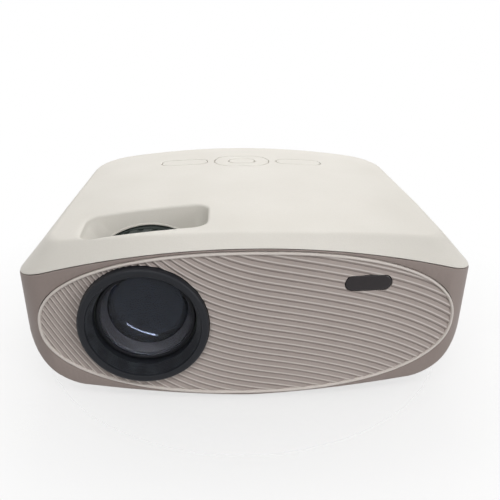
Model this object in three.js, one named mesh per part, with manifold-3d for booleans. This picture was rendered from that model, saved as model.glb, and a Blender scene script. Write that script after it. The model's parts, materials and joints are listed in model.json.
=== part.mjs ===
// A compact home projector in millimetres. The origin is on the floor, under the middle of the case.
// X runs across the front from left to right, the lens looks along -Y, and Z is up.
// The case is a warm grey tub with an arched rim, a pale crowned cover with bevelled edges, and a
// ribbed oval front. Inside, the lens, the two adjusting rings, the tilting panel cell, the lamp, the
// fans and the boards each stand on what carries them.

import * as THREE from 'three';
import { mergeVertices } from 'three/addons/utils/BufferGeometryUtils.js';
import Module from 'manifold-3d';

const wasm = await Module();
wasm.setup();

// Overall case
const bodyWidth = 220;
const bodyDepth = 163;
const bodyTop = 91;
const wall = 2.2;
const clearance = 0.3;
const overrun = 6;
const lensProud = 2.5;

// Outer limits of the case
const half = bodyWidth / 2;
const bodyFront = -(bodyDepth - lensProud) / 2;
const bodyRear = (bodyDepth + lensProud) / 2;

// Plan of the case: the front and the rear bow, the corners are round, the tail is a little narrower
const frontBow = 5.3;
const rearBow = 13;
const frontCorner = 15.4;
const rearCornerShare = 0.1;
const rearCorner = rearCornerShare * bodyWidth;
const rearTaper = 3.5;

// Arched seam between the cover and the tub, and the crown of the roof
const seamTop = bodyTop - 6.2;
const seamArch = 17;
const seamGap = 0.4;
const crownDrop = 8.4;
const noseBreakShare = 0.116;
const noseBreak = -noseBreakShare * bodyDepth;
const noseDrop = 2;

// Bevel round the roof
const creaseSide = 14.1;
const creaseFront = 9.8;
const creaseFlare = 2.1;
const creaseRear = 6.2;
const creaseCorner = 10.5;
const creaseRearCorner = 18;
const bevelRound = 1.5;
const coverSink = 1.5;

// Belly of the tub: nearly flat in the middle, then a big soft corner up to the straight side
const bellyBottom = 3;
const bellyRiseShare = 0.0714;
const bellyBendShare = 0.1364;
const bellyRise = bellyRiseShare * bodyTop;
const bellyBend = bellyBendShare * bodyWidth;
const bellyBendTopShare = 0.4945;
const bellyBendTop = bellyBendTopShare * bodyTop;
const bellyPowerShare = 1.5;
const bendPowerShare = 1.8;
const bottomEdge = 1.5;

// Oval front panel with its rim and its ribs
const panelMargin = 9.3;
const panelHeightShare = 0.4319;
const panelCentreShare = 0.4835;
const panelHalfWidth = half - panelMargin;
const panelHalfHeight = panelHeightShare * bodyTop;
const panelCentre = panelCentreShare * bodyTop;
const ovalPowerShare = 2.23;
const rimWidth = 2;
const rimProud = 0.6;
const panelBack = 2.6;
const ledgeWidth = 3;
const ledgeDepth = 1.8;
const ribSink = 0.2;
const ribDepth = 0.8;
const ribPitch = 3.56;
const ribPitchGrowLeft = 1.24;
const ribPitchGrowRight = 0.85;
const ribFlatX = 16.3;
const ribStart = 89.5;
const ribSpan = 100;
const ribSlopeShare = 0.2;
const ribLeftShare = 2.21;
const ribLeftPowerShare = 1.74;
const ribRightShare = 0.63;
const ribRightPowerShare = 2.94;

// Infrared window and its receiver
const irAcrossShare = 0.2536;
const irHeightShare = 0.722;
const irX = irAcrossShare * bodyWidth;
const irZ = irHeightShare * bodyTop;
const irWidth = 22.5;
const irHeight = 7.8;
const irSink = 0.3;
const receiverWidth = 14;
const receiverHeight = 9;
const receiverBoard = 1.2;
const eyeRadius = 2.6;

// Lens axis, bezel, barrel and glass
const lensAcrossShare = 0.22864;
const bezelRadiusShare = 0.34066;
const lensX = -lensAcrossShare * bodyWidth;
const lensZ = bodyTop / 2;
const bezelRadius = bezelRadiusShare * bodyTop;
const bezelFrontEdge = 1.6;
const bezelFace = 3.7;
const bezelMouth = bezelRadius - bezelFace;
const bezelCone = 2.4;
const bezelThroat = bezelMouth - bezelCone;
const bezelConeDepth = 7;
const bezelLength = 11.5;
const flangeReach = 2.5;
const bezelFlange = bezelRadius + flangeReach;
const bezelFlangeThickness = 1.5;
const barrelGap = 0.9;
const barrelRadius = bezelThroat - barrelGap;
const barrelWall = 1.6;
const barrelSetback = 10;
const barrelLength = 29;
const barrelLip = 1.2;
const lipReach = 1.4;
const frontSag = 5;
const frontRim = 3.4;
const frontBackSag = 2;
const rearLensRim = 3;
const rearLensSag = 3.2;
const spacerWall = 2.4;
const spacerSteps = 2;
const spacerStepGrow = 2.2;
const retainerLength = 2;

// Fixed sleeve with the two knurled rings
const sleeveWall = 1.3;
const sleeveStart = 10;
const sleeveFlange = bezelRadius + flangeReach - clearance;
const sleeveFlangeThickness = 1.7;
const ringReach = 3.3;
const ringRadius = bezelRadius + ringReach;
const ringRun = 0.4;
const ringWidth = 8.5;
const ringGap = 0.4;
const collarWidth = 1.2;
const collarHeight = 2.4;
const clipWidth = 1.2;
const clipHeight = 2;
const knurlCount = 30;
const knurlDepth = 0.8;

// Finger pocket in the cover
const pocketLeft = 35.2;
const pocketRight = 31.1;
const pocketSetback = 15.15;
const pocketLength = 28.2;
const pocketDropShare = 0.2527;
const pocketFront = bodyFront + pocketSetback;
const pocketRear = pocketFront + pocketLength;
const pocketFloor = bodyTop - pocketDropShare * bodyTop;
const pocketRampLeft = 18;
const pocketRampRight = 4;
const pocketRampFront = 2.5;
const pocketRampRear = 5;
const pocketCornerLeft = 6.5;
const pocketCornerRight = 7;
const pocketFloorCorner = 6.5;
const pocketWall = 1.8;
const pocketSkewShare = 0.087;
const slotMargin = 0.9;

// Key pad on the roof
const keyCentreX = 0.6;
const keySetback = 39.75;
const keyCentreY = bodyRear - keySetback;
const padWidth = 34.4;
const padDepth = 22.8;
const okWidth = 16.4;
const okDepth = 9.1;
const longKeyWidth = 28.6;
const longKeyDepth = 10.8;
const longKeyReach = 36.5;
const keyGap = 0.4;
const keyThickness = 2.6;
const okTravel = 0.8;
const nubRadius = 1.6;
const carrierThickness = 1;
const carrierGap = 1;
const carrierRing = 3.2;
const matThickness = 1.4;
const matDrop = 6;
const boardThickness = 1.6;
const keypadMargin = 5;
const postRadius = 2.4;

// Optics behind the lens
const opticsWidthShare = 0.34;
const opticsHeightShare = 0.6374;
const opticsSetback = 43.75;
const opticsTail = 44.75;
const opticsWidth = opticsWidthShare * bodyWidth;
const opticsHeight = opticsHeightShare * bodyTop;
const opticsFront = bodyFront + opticsSetback;
const opticsRear = bodyRear - opticsTail;
const opticsLength = opticsRear - opticsFront;
const opticsWall = 2;
const lidThickness = 1.6;
const lightHoleMargin = 9;
const lightHole = opticsHeight / 2 - lightHoleMargin;
const cellMargin = 6.5;
const cellWidth = opticsWidth - cellMargin;
const cellHeight = opticsHeight - cellMargin;
const cellThickness = 4;
const cellBorder = 4.5;
const cellShare = 0.3289;
const cellY = opticsFront + cellShare * opticsLength;
const panelGlass = 1.6;
const fieldLensMargin = 5;
const fieldLensWidth = opticsWidth - fieldLensMargin;
const fieldLensHeight = opticsHeight - fieldLensMargin;
const fieldLensThickness = 2;
const fieldLensFrontShare = 0.1409;
const fieldLensRearShare = 0.5436;
const fieldLensFrontY = opticsFront + fieldLensFrontShare * opticsLength;
const fieldLensRearY = opticsFront + fieldLensRearShare * opticsLength;
const condenserRadius = lightHole + 1;
const condenserRim = 2;
const condenserSag = 8;
const condenserBack = 1;
const condenserShare = 0.8389;
const condenserY = opticsFront + condenserShare * opticsLength;
const ledBoardSize = 46;
const ledBoardThickness = 2;
const ledDomeRadius = 8;
const ledDomeHeight = 4;
const sinkWidthShare = 0.2727;
const sinkWidth = sinkWidthShare * bodyWidth;
const sinkHeight = opticsHeight - 2 * opticsWall;
const sinkBase = 4;
const sinkDepth = 17;
const finCount = 9;
const finThickness = 1.6;

// Fans
const fanSizeShare = 0.2636;
const fanWall = 1.6;
const fanSize = Math.min(fanSizeShare * bodyWidth, opticsHeight);
const fanDepth = 11.5;
const fanBore = fanSize / 2 - fanWall;
const fanHub = 13;
const panelFanMargin = 8;
const panelFanSize = opticsHeight - panelFanMargin;
const panelFanDepth = 10;
const panelFanBore = panelFanSize / 2 - fanWall;
const panelFanHub = 11;
const panelFanShare = 0.5168;
const panelFanY = opticsFront + panelFanShare * opticsLength;
const tipGap = 0.9;
const bladeCount = 7;
const bladeThickness = 1;
const bladeTurn = 0.62;
const hubEndGap = 0.5;
const motorPlate = 1.6;
const strutWidth = 3;
const filterDepth = 5;

// Boards, speakers and sockets
const powerLeftShare = 0.0727;
const powerRightShare = 0.3636;
const powerRearShare = 0.0368;
const powerSetback = 16.25;
const powerLeft = powerLeftShare * bodyWidth;
const powerRight = powerRightShare * bodyWidth;
const powerFront = bodyFront + powerSetback;
const powerRear = -powerRearShare * bodyDepth;
const powerZ = 15;
const transformerSize = 24;
const transformerHeight = 19;
const capacitorRadius = 8;
const capacitorLength = 24;
const coilRadius = 7;
const coilHeight = 14;
const mainLeftShare = 0.0409;
const mainRightShare = 0.3773;
const mainFrontShare = 0.0491;
const mainTail = 15.75;
const mainLeft = mainLeftShare * bodyWidth;
const mainRight = mainRightShare * bodyWidth;
const mainFront = mainFrontShare * bodyDepth;
const mainRear = bodyRear - mainTail;
const mainZ = 31;
const chipSize = 18;
const chipHeight = 7;
const chipFins = 5;
const tunerWidth = 14;
const tunerDepth = 20;
const tunerHeight = 6;
const speakerLength = 40;
const speakerHeight = 18;
const speakerPlate = 1.5;
const speakerDepth = 9;
const speakerY = 9;
const speakerDropShare = 0.1187;
const speakerZ = seamTop - seamArch - speakerDropShare * bodyTop;
const bayLeftShare = 0.0455;
const bayRightShare = 0.3682;
const bayLeft = bayLeftShare * bodyWidth;
const bayRight = bayRightShare * bodyWidth;
const bayBottom = 29;
const bayTop = 49;
const baySink = 11.75;
const bayFloorY = bodyRear - baySink;
const bayPlate = 2;
const socketDepth = 13;
const socketWall = 0.5;
const socketBack = 1.5;
const hdmiShare = 0.0909;
const hdmiX = hdmiShare * bodyWidth;
const hdmiWidth = 15.4;
const hdmiHeight = 6;
const usbShare = 0.1727;
const usbX = usbShare * bodyWidth;
const usbWidth = 14.2;
const usbHeight = 6.6;
const usbRise = 7.2;
const jackFirstShare = 0.2295;
const jackSecondShare = 0.2659;
const jackFirstX = jackFirstShare * bodyWidth;
const jackSecondX = jackSecondShare * bodyWidth;
const jackRadius = 3;
const jackBore = 1.8;
const inletShare = 0.325;
const inletX = inletShare * bodyWidth;
const inletWidth = 15;
const inletHeight = 8.6;
const inletWall = 1.4;
const pinRadius = 1.1;
const pinSpread = 4.3;

// Vents
const sideVentCount = 11;
const sideVentPitch = 6;
const sideVentWidth = 3;
const sideVentLow = 9;
const sideVentHigh = 7;
const sideVentBottom = speakerZ - sideVentLow;
const sideVentTop = speakerZ + sideVentHigh;
const sideVentStart = speakerY - ((sideVentCount - 1) * sideVentPitch) / 2;
const rearVentCount = 10;
const rearVentPitch = 6.2;
const rearVentWidth = 3;
const rearVentLow = 25.5;
const rearVentHigh = 20.5;
const rearVentBottom = lensZ - rearVentLow;
const rearVentTop = lensZ + rearVentHigh;
const bellyVentCount = 6;
const bellyVentWidth = 3;
const bellyVentPitch = 7.4;
const bellyVentLength = 36;
const bellyVentShare = 0.1182;
const bellyVentX = bellyVentShare * bodyWidth;
const bellyVentY = (powerFront + powerRear) / 2;

// Feet, screws and tripod insert
const footMargin = 44;
const footSetback = 24.25;
const footTail = 26.75;
const footX = half - footMargin;
const footFrontY = bodyFront + footSetback;
const footRearY = bodyRear - footTail;
const footRadius = 7;
const footFlare = 1;
const screwFootSetback = 19.25;
const screwFootY = bodyFront + screwFootSetback;
const screwFootRadius = 8;
const screwFootThickness = 2.2;
const stemRadius = 3;
const stemLength = 22;
const stemBoss = 6;
const stemBossHeight = 12;
const tripodY = 5;
const tripodRadius = 4.6;
const tripodBore = 2.7;
const tripodLength = 8;
const tripodBoss = 7.2;
const screwFrontShare = 0.4227;
const screwRearShare = 0.4068;
const screwSetback = 18.25;
const screwTail = 21.75;
const caseScrewFrontX = screwFrontShare * bodyWidth;
const caseScrewRearX = screwRearShare * bodyWidth;
const caseScrewFrontY = bodyFront + screwSetback;
const caseScrewRearY = bodyRear - screwTail;
const screwRadius = 1.5;
const screwHead = 2.9;
const screwHeadHeight = 2.4;
const screwLength = 24;
const screwSeat = 30;
const pillarRadius = 4.2;
const pillarJoint = 40;

// Number of flat sides that stand in for a circle
const ovalSides = 42;
const lensSides = 32;
const innerSides = 24;
const wheelSides = 16;
const smallSides = 10;
const postSides = 6;

// Finish of each material
const finishes = {
  cover: [0xe4e2dc, 0.55, 0],
  housing: [0x968a86, 0.6, 0],
  panel: [0xa2958f, 0.55, 0],
  black: [0x1d1f21, 0.35, 0],
  darkGrip: [0x464c4a, 0.6, 0],
  innerBlack: [0x17181a, 0.7, 0],
  window: [0x2c2628, 0.15, 0],
  glass: [0x9fb4b8, 0.05, 0],
  keys: [0xe2e0da, 0.5, 0],
  rubber: [0x222222, 0.9, 0],
  board: [0x1f5a38, 0.6, 0],
  steel: [0xb9bbbd, 0.3, 1],
  aluminium: [0xc4c6c8, 0.35, 1],
  brass: [0xb08d4a, 0.35, 1],
  foam: [0x3a3a3c, 1, 0],
};
const materials = {};
for (const [name, [color, roughness, metalness]] of Object.entries(finishes)) {
  materials[name] = { color, roughness, metalness };
}

const model = new THREE.Group();

// Solids from triangles

function signedVolume(places, corners) {
  let six = 0;
  for (let i = 0; i < corners.length; i += 3) {
    const [a, b, c] = [0, 1, 2].map((k) => new THREE.Vector3().fromArray(places, corners[i + k] * 3));
    six += a.dot(b.cross(c));
  }
  return six / 6;
}

function toSolid(geometry) {
  const bare = geometry.clone();
  bare.deleteAttribute('normal');
  bare.deleteAttribute('uv');
  const welded = mergeVertices(bare);
  const places = welded.attributes.position.array;
  const corners = [];
  for (let i = 0; i < welded.index.count; i += 3) {
    const [a, b, c] = [0, 1, 2].map((k) => welded.index.getX(i + k));
    if (a !== b && b !== c && c !== a) corners.push(a, b, c);
  }
  if (signedVolume(places, corners) < 0) corners.reverse();
  const triVerts = new Uint32Array(corners);
  return new wasm.Manifold(new wasm.Mesh({ numProp: 3, vertProperties: new Float32Array(places), triVerts }));
}

function join(first, ...others) {
  return others.reduce((sum, other) => sum.add(other), first);
}

function cut(first, ...tools) {
  return tools.reduce((rest, tool) => rest.subtract(tool), first);
}

function addPart(name, solid, material) {
  const raw = solid.getMesh();
  const geometry = new THREE.BufferGeometry();
  geometry.setAttribute('position', new THREE.BufferAttribute(new Float32Array(raw.vertProperties), 3));
  geometry.setIndex([...raw.triVerts]);
  geometry.computeVertexNormals();
  const mesh = new THREE.Mesh(geometry, new THREE.MeshStandardMaterial(material));
  mesh.name = name;
  model.add(mesh);
  return mesh;
}

// A closed surface gathered face by face
class Skin {
  constructor() {
    this.places = [];
  }

  triangle(a, b, c) {
    this.places.push(...a, ...b, ...c);
  }

  quad(a, b, c, d) {
    this.triangle(a, b, c);
    this.triangle(a, c, d);
  }

  solid() {
    const geometry = new THREE.BufferGeometry();
    geometry.setAttribute('position', new THREE.BufferAttribute(new Float32Array(this.places), 3));
    return toSolid(geometry);
  }
}

function box(x0, x1, y0, y1, z0, z1) {
  const geometry = new THREE.BoxGeometry(x1 - x0, y1 - y0, z1 - z0);
  geometry.translate((x0 + x1) / 2, (y0 + y1) / 2, (z0 + z1) / 2);
  return toSolid(geometry);
}

function boxAt(x, y, z, width, depth, height) {
  return box(x - width / 2, x + width / 2, y - depth / 2, y + depth / 2, z, z + height);
}

// A round bar along one axis, from start to end, with the two other coordinates in x, y, z order
function rod(axis, radius, start, end, [u, v], sides = wheelSides, endRadius = radius) {
  const geometry = new THREE.CylinderGeometry(endRadius, radius, end - start, sides);
  geometry.translate(0, (start + end) / 2, 0);
  if (axis === 'x') {
    geometry.rotateZ(-Math.PI / 2);
    geometry.translate(0, u, v);
  } else if (axis === 'y') {
    geometry.translate(u, 0, v);
  } else {
    geometry.rotateX(Math.PI / 2);
    geometry.translate(u, v, 0);
  }
  return toSolid(geometry);
}

function tube(axis, outer, inner, start, end, centre, sides = innerSides) {
  const hole = rod(axis, inner, start - overrun, end + overrun, centre, sides);
  return cut(rod(axis, outer, start, end, centre, sides), hole);
}

// A turned piece about the lens axis: the profile is a list of [radius, y]
function turned(profile, sides = innerSides) {
  const geometry = new THREE.LatheGeometry(profile.map(([r, y]) => new THREE.Vector2(r, y)), sides);
  geometry.translate(lensX, 0, lensZ);
  return toSolid(geometry);
}

// An outline of [x, z] points pushed along Y, or of [x, y] points pushed along Z
function prismY(outline, y0, y1, hole = null) {
  const shape = new THREE.Shape(outline.map(([x, z]) => new THREE.Vector2(x, z)));
  if (hole) shape.holes.push(new THREE.Path(hole.map(([x, z]) => new THREE.Vector2(x, z))));
  const geometry = new THREE.ExtrudeGeometry(shape, { depth: y1 - y0, bevelEnabled: false });
  geometry.rotateX(Math.PI / 2);
  geometry.translate(0, y1, 0);
  return toSolid(geometry);
}

function prismZ(outline, z0, z1, hole = null) {
  const shape = new THREE.Shape(outline.map(([x, y]) => new THREE.Vector2(x, y)));
  if (hole) shape.holes.push(new THREE.Path(hole.map(([x, y]) => new THREE.Vector2(x, y))));
  const geometry = new THREE.ExtrudeGeometry(shape, { depth: z1 - z0, bevelEnabled: false });
  geometry.translate(0, 0, z0);
  return toSolid(geometry);
}

// Outlines

function circle(radius, count, [u, v] = [0, 0]) {
  return Array.from({ length: count }, (_, k) => {
    const angle = (2 * Math.PI * k) / count;
    return [u + radius * Math.cos(angle), v + radius * Math.sin(angle)];
  });
}

// A pill: two half circles joined by straight sides
function pill(u, v, width, height, steps = 4) {
  const radius = height / 2;
  const reach = width / 2 - radius;
  const points = [];
  for (const side of [1, -1]) {
    for (let k = 0; k <= steps; k += 1) {
      const angle = Math.PI * (k / steps - 1 / 2);
      points.push([u + side * (reach + radius * Math.cos(angle)), v + side * radius * Math.sin(angle)]);
    }
  }
  return points;
}

// A rectangle whose left and right corners have their own radius, its long sides a little askew
function roundedPlan(x0, x1, y0, y1, leftRadius, rightRadius, steps = 3) {
  const corners = [
    [x0 + leftRadius, y0 + leftRadius, leftRadius, Math.PI],
    [x1 - rightRadius, y0 + rightRadius, rightRadius, 1.5 * Math.PI],
    [x1 - rightRadius, y1 - rightRadius, rightRadius, 0],
    [x0 + leftRadius, y1 - leftRadius, leftRadius, Math.PI / 2],
  ];
  const points = [];
  for (const [cx, cy, radius, start] of corners) {
    for (let k = 0; k <= steps; k += 1) {
      const angle = start + (Math.PI / 2) * (k / steps);
      const x = cx + radius * Math.cos(angle);
      points.push([x, cy + radius * Math.sin(angle) + pocketSkewShare * (x - lensX)]);
    }
  }
  return points;
}

// A closed body between two outlines of equally many points
function frustum(lower, z0, upper, z1) {
  const skin = new Skin();
  const middle = (outline) => [0, 1].map((k) => outline.reduce((s, p) => s + p[k], 0) / outline.length);
  const [low, high] = [[...middle(lower), z0], [...middle(upper), z1]];
  lower.forEach((point, k) => {
    const next = (k + 1) % lower.length;
    const [a, b] = [[...point, z0], [...lower[next], z0]];
    const [c, d] = [[...upper[next], z1], [...upper[k], z1]];
    skin.quad(a, b, c, d);
    skin.triangle(b, a, low);
    skin.triangle(d, c, high);
  });
  return skin.solid();
}

// A block whose front and back are any two surfaces over one grid
function gridBlock(columns, rows, front, back) {
  const skin = new Skin();
  for (let i = 0; i < columns; i += 1) {
    for (let j = 0; j < rows; j += 1) {
      skin.quad(front(i, j), front(i + 1, j), front(i + 1, j + 1), front(i, j + 1));
      skin.quad(back(i, j), back(i, j + 1), back(i + 1, j + 1), back(i + 1, j));
    }
    skin.quad(front(i, 0), back(i, 0), back(i + 1, 0), front(i + 1, 0));
    skin.quad(front(i + 1, rows), back(i + 1, rows), back(i, rows), front(i, rows));
  }
  for (let j = 0; j < rows; j += 1) {
    skin.quad(front(0, j + 1), back(0, j + 1), back(0, j), front(0, j));
    skin.quad(front(columns, j), back(columns, j), back(columns, j + 1), front(columns, j + 1));
  }
  return skin.solid();
}

// A closed ring swept round a loop: section(k) gives the corners of cut number k
function sweptRing(count, section) {
  const skin = new Skin();
  for (let k = 0; k < count; k += 1) {
    const here = section(k);
    const there = section((k + 1) % count);
    here.forEach((point, m) => {
      const next = (m + 1) % here.length;
      skin.quad(point, here[next], there[next], there[m]);
    });
  }
  return skin.solid();
}

// Surfaces of the case, each a function of the place

const seamAt = (x) => seamTop - seamArch * (x / half) ** 2;
const frontAt = (x) => bodyFront + frontBow * (x / half) ** 2;
const rearAt = (x) => bodyRear - rearBow * (x / half) ** 2;

function roofAt(x, y) {
  const creaseY = bodyFront + creaseFront;
  const slope = THREE.MathUtils.clamp((noseBreak - y) / (noseBreak - creaseY), 0, 1);
  return bodyTop - crownDrop * (x / half) ** 2 - noseDrop * slope;
}

function bellyAt(x) {
  const flat = half - bellyBend;
  const reach = Math.abs(x);
  if (reach <= flat) return bellyBottom + bellyRise * (reach / flat) ** bellyPowerShare;
  const bent = Math.min((reach - flat) / bellyBend, 1);
  const height = bellyBendTop - bellyBottom - bellyRise;
  return bellyBendTop - height * (1 - bent ** bendPowerShare) ** (1 / bendPowerShare);
}

// Cross-sections run front to rear at stations across the case, closer together round the corners
const flatStations = 8;
const bendStations = 5;
const stations = [];
for (let k = -bendStations; k <= flatStations + bendStations; k += 1) {
  const flat = half - bellyBend;
  const past = k < 0 ? -k : k - flatStations;
  const bend = bellyBend * Math.sin((Math.PI / 2) * (Math.max(past, 0) / bendStations));
  const inFlat = flat * (2 * THREE.MathUtils.clamp(k / flatStations, 0, 1) - 1);
  stations.push((inFlat + (k < 0 ? -bend : bend)) / half);
}

function cornerRise(x, reach, run, rise) {
  const past = Math.max(Math.abs(x) - (reach - run), 0) / run;
  return rise * (1 - Math.sqrt(Math.max(1 - past * past, 0)));
}

// One level of the case: a front row, a middle row at the roof's break and a rear row of points,
// drawn in from the full outline by the given insets
function level(height, inset = {}) {
  const { side = 0, front = 0, rear = 0, flare = 0 } = inset;
  const { corner = frontCorner, tail = rearCorner } = inset;
  const reach = half - side;
  const rows = [[], [], []];
  for (const share of stations) {
    const x = reach * share;
    const rearX = x * (1 - rearTaper / half);
    const rise = cornerRise(x, reach, corner, corner);
    const frontY = frontAt(x) + front + flare * (x / half) ** 2 + rise;
    const rearY = rearAt(rearX) - rear - cornerRise(x, reach, tail, tail);
    const along = (noseBreak - frontY) / (rearY - frontY);
    const places = [[x, frontY], [x + (rearX - x) * along, noseBreak], [rearX, rearY]];
    places.forEach(([px, py], row) => rows[row].push([px, py, height(half * share, py, reach * share)]));
  }
  return rows;
}

// A closed body through several levels, from the lowest up
function caseBody(levels) {
  const skin = new Skin();
  const last = stations.length - 1;
  const loops = levels.map(([front, middle, rear]) => [
    ...front,
    middle[last],
    ...[...rear].reverse(),
    middle[0],
  ]);
  for (let n = 0; n + 1 < loops.length; n += 1) {
    loops[n].forEach((point, k) => {
      const next = (k + 1) % loops[n].length;
      skin.quad(point, loops[n][next], loops[n + 1][next], loops[n + 1][k]);
    });
  }
  for (let k = 0; k < last; k += 1) {
    for (const row of [0, 1]) {
      const low = levels[0];
      const high = levels[levels.length - 1];
      skin.quad(high[row][k], high[row][k + 1], high[row + 1][k + 1], high[row + 1][k]);
      skin.quad(low[row][k + 1], low[row][k], low[row + 1][k], low[row + 1][k + 1]);
    }
  }
  return skin.solid();
}

// Cover and tub

function roofInset(more = 0) {
  return {
    side: creaseSide + more,
    front: creaseFront + more,
    rear: creaseRear + more,
    flare: creaseFlare,
    corner: creaseCorner,
    tail: creaseRearCorner,
  };
}

// The bevel's upper edge, a share of the way up from the seam to the crease
function bevelLevel(share) {
  const mix = (a, b) => a + (b - a) * share;
  const inset = {
    side: mix(0, creaseSide),
    front: mix(0, creaseFront),
    rear: mix(0, creaseRear),
    flare: mix(0, creaseFlare),
    corner: mix(frontCorner, creaseCorner),
    tail: mix(rearCorner, creaseRearCorner),
  };
  const creaseShare = (half - creaseSide) / half;
  return level((x, y) => mix(seamAt(x) + seamGap / 2, roofAt(x * creaseShare, y)), inset);
}

const coverLevels = [
  level((x) => seamAt(x) + seamGap / 2),
  bevelLevel(1 - bevelRound / creaseFront),
  level((x, y, along) => roofAt(along, y), roofInset(bevelRound)),
];
const coverSkin = caseBody(coverLevels);
const roomUnderRoof = caseBody([level(() => bellyBottom, { side: wall }), ...coverLevels]);

// The same inset all round
function evenInset(inset) {
  return {
    side: inset,
    front: inset,
    rear: inset,
    corner: frontCorner - inset,
    tail: rearCorner - inset,
  };
}

const coverHollow = caseBody([
  level((x) => seamAt(x) - coverSink, evenInset(wall)),
  level((x, y, along) => roofAt(along, y) - wall, roofInset(bevelRound)),
]);

const tubSkin = caseBody([
  level((x) => bellyAt(x), evenInset(bottomEdge)),
  level((x) => bellyAt(x) + bottomEdge),
  level((x) => seamAt(x) - seamGap / 2),
]);

function tubHollow(inset) {
  return caseBody([
    level((x) => bellyAt(x) + inset, evenInset(inset)),
    level((x) => seamAt(x) + overrun, evenInset(inset)),
  ]);
}

// A layer that follows the bowed front between two depths behind it
function bowedLayer(x0, x1, z0, z1, near, far, columns = 10) {
  const xAt = (i) => x0 + ((x1 - x0) * i) / columns;
  const zAt = (j) => (j ? z1 : z0);
  const face = (depth) => (i, j) => [xAt(i), frontAt(xAt(i)) + depth, zAt(j)];
  return gridBlock(columns, 1, face(near), face(far));
}

function oval(grow = 0) {
  const power = 2 / ovalPowerShare;
  const bulge = (value) => Math.sign(value) * Math.abs(value) ** power;
  return Array.from({ length: ovalSides }, (_, k) => {
    const angle = (2 * Math.PI * k) / ovalSides;
    const x = (panelHalfWidth + grow) * bulge(Math.cos(angle));
    return [x, panelCentre + (panelHalfHeight + grow) * bulge(Math.sin(angle))];
  });
}

// Ribs of the front panel: rib number n is the curve ribZ(x, n)

function ribZ(x, n) {
  const along = (x - ribFlatX) / ribSpan;
  const left = Math.max(-along, 0);
  const right = Math.max(along, 0);
  const grow = along < 0 ? ribPitchGrowLeft : ribPitchGrowRight;
  const climb = (share, power, reach) => (share / (power + 1)) * reach ** (power + 1);
  const rise = ribSlopeShare * -along + climb(ribLeftShare, ribLeftPowerShare, left);
  const fall = climb(ribRightShare, ribRightPowerShare, right);
  return ribStart + ribSpan * (rise - fall) + n * (ribPitch + grow * along * along);
}

// Each rib rises steeply from its groove to the crest, then falls gently to the next groove: shares
// of the pitch, and of the height
const crestShares = [[0, 0], [0.3, 1]];

// The columns stand closer together towards the left, where the ribs bend most
function ribbedSlab() {
  const columns = 13;
  const leanShare = 0.4;
  const firstRib = -46;
  const ribs = 54;
  const reach = panelHalfWidth + clearance;
  const xAt = (i) => reach * (2 * (i / columns) * (1 - leanShare + leanShare * (i / columns)) - 1);
  const front = (i, j) => {
    const [along, height] = crestShares[j % crestShares.length];
    const x = xAt(i);
    const n = firstRib + Math.floor(j / crestShares.length) + along;
    return [x, frontAt(x) + ribSink + ribDepth * (1 - height), ribZ(x, n)];
  };
  const back = (i, j) => {
    const [x, , z] = front(i, j);
    return [x, 0, z];
  };
  const layer = bowedLayer(-half, half, 0, bodyTop, -overrun, panelBack);
  return gridBlock(columns, ribs * crestShares.length, front, back).intersect(layer);
}

function panelRim() {
  const outer = oval();
  const middle = oval(-rimWidth / 2);
  const inner = oval(-rimWidth);
  return sweptRing(ovalSides, (k) => {
    const at = ([x, z], depth) => [x, frontAt(x) + depth, z];
    return [
      at(outer[k], panelBack),
      at(outer[k], 0),
      at(middle[k], -rimProud),
      at(inner[k], 0),
      at(inner[k], panelBack),
    ];
  });
}

function lensHole(radius, y0, y1) {
  return rod('y', radius, y0, y1, [lensX, lensZ], lensSides);
}

function makeFrontPanel() {
  const bed = prismY(oval(-rimWidth / 2), bodyFront - overrun, bodyFront + frontBow + overrun);
  const face = ribbedSlab().intersect(bed);
  const windowHole = pill(irX, irZ, irWidth + 2 * clearance, irHeight + 2 * clearance);
  const far = bodyFront + frontBow + overrun;
  return cut(
    join(face, panelRim()),
    lensHole(bezelRadius + clearance, bodyFront - overrun, far),
    prismY(windowHole, bodyFront - overrun, far),
  );
}

function makeIrWindow() {
  const layer = bowedLayer(irX - irWidth, irX + irWidth, irZ - irHeight, irZ + irHeight, irSink, panelBack);
  return layer.intersect(prismY(pill(irX, irZ, irWidth, irHeight), bodyFront - overrun, 0));
}

// Places that several pieces share

const bezelFront = bodyFront - lensProud;
const bezelBack = bezelFront + bezelLength;
const barrelFront = bezelFront + barrelSetback;
const barrelBack = barrelFront + barrelLength;
const sleeveFront = bezelBack + clearance;
const sleeveInner = barrelRadius + clearance;
const sleeveOuter = sleeveInner + sleeveWall;
const focusStart = sleeveFront + sleeveStart;
const collarStart = focusStart + ringWidth + ringGap;
const keystoneStart = collarStart + collarWidth + ringGap;
const keystoneEnd = keystoneStart + ringWidth;
const sleeveBack = opticsFront - clearance;
const keyBottom = bodyTop - keyThickness;
const matTop = bodyTop - matDrop;
const keypadBoardTop = matTop - matThickness - clearance;
const keypadHalf = longKeyReach + longKeyWidth / 2 + keypadMargin;
const caseScrews = [
  [-caseScrewFrontX, caseScrewFrontY],
  [caseScrewFrontX, caseScrewFrontY],
  [-caseScrewRearX, caseScrewRearY],
  [caseScrewRearX, caseScrewRearY],
];
const feet = [
  [-footX, footFrontY],
  [footX, footFrontY],
  [-footX, footRearY],
  [footX, footRearY],
];

function pocketPlan(inset, rampShare) {
  const corner = (mouth) => mouth + (pocketFloorCorner - mouth) * rampShare - inset;
  return roundedPlan(
    lensX - pocketLeft + pocketRampLeft * rampShare + inset,
    lensX + pocketRight - pocketRampRight * rampShare - inset,
    pocketFront + pocketRampFront * rampShare + inset,
    pocketRear - pocketRampRear * rampShare - inset,
    corner(pocketCornerLeft),
    corner(pocketCornerRight),
  );
}

function pocketBody(inset, floor) {
  const drop = bodyTop - floor;
  const beyond = overrun / drop;
  return frustum(pocketPlan(inset, 1), floor, pocketPlan(inset, -beyond), bodyTop + overrun);
}

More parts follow.
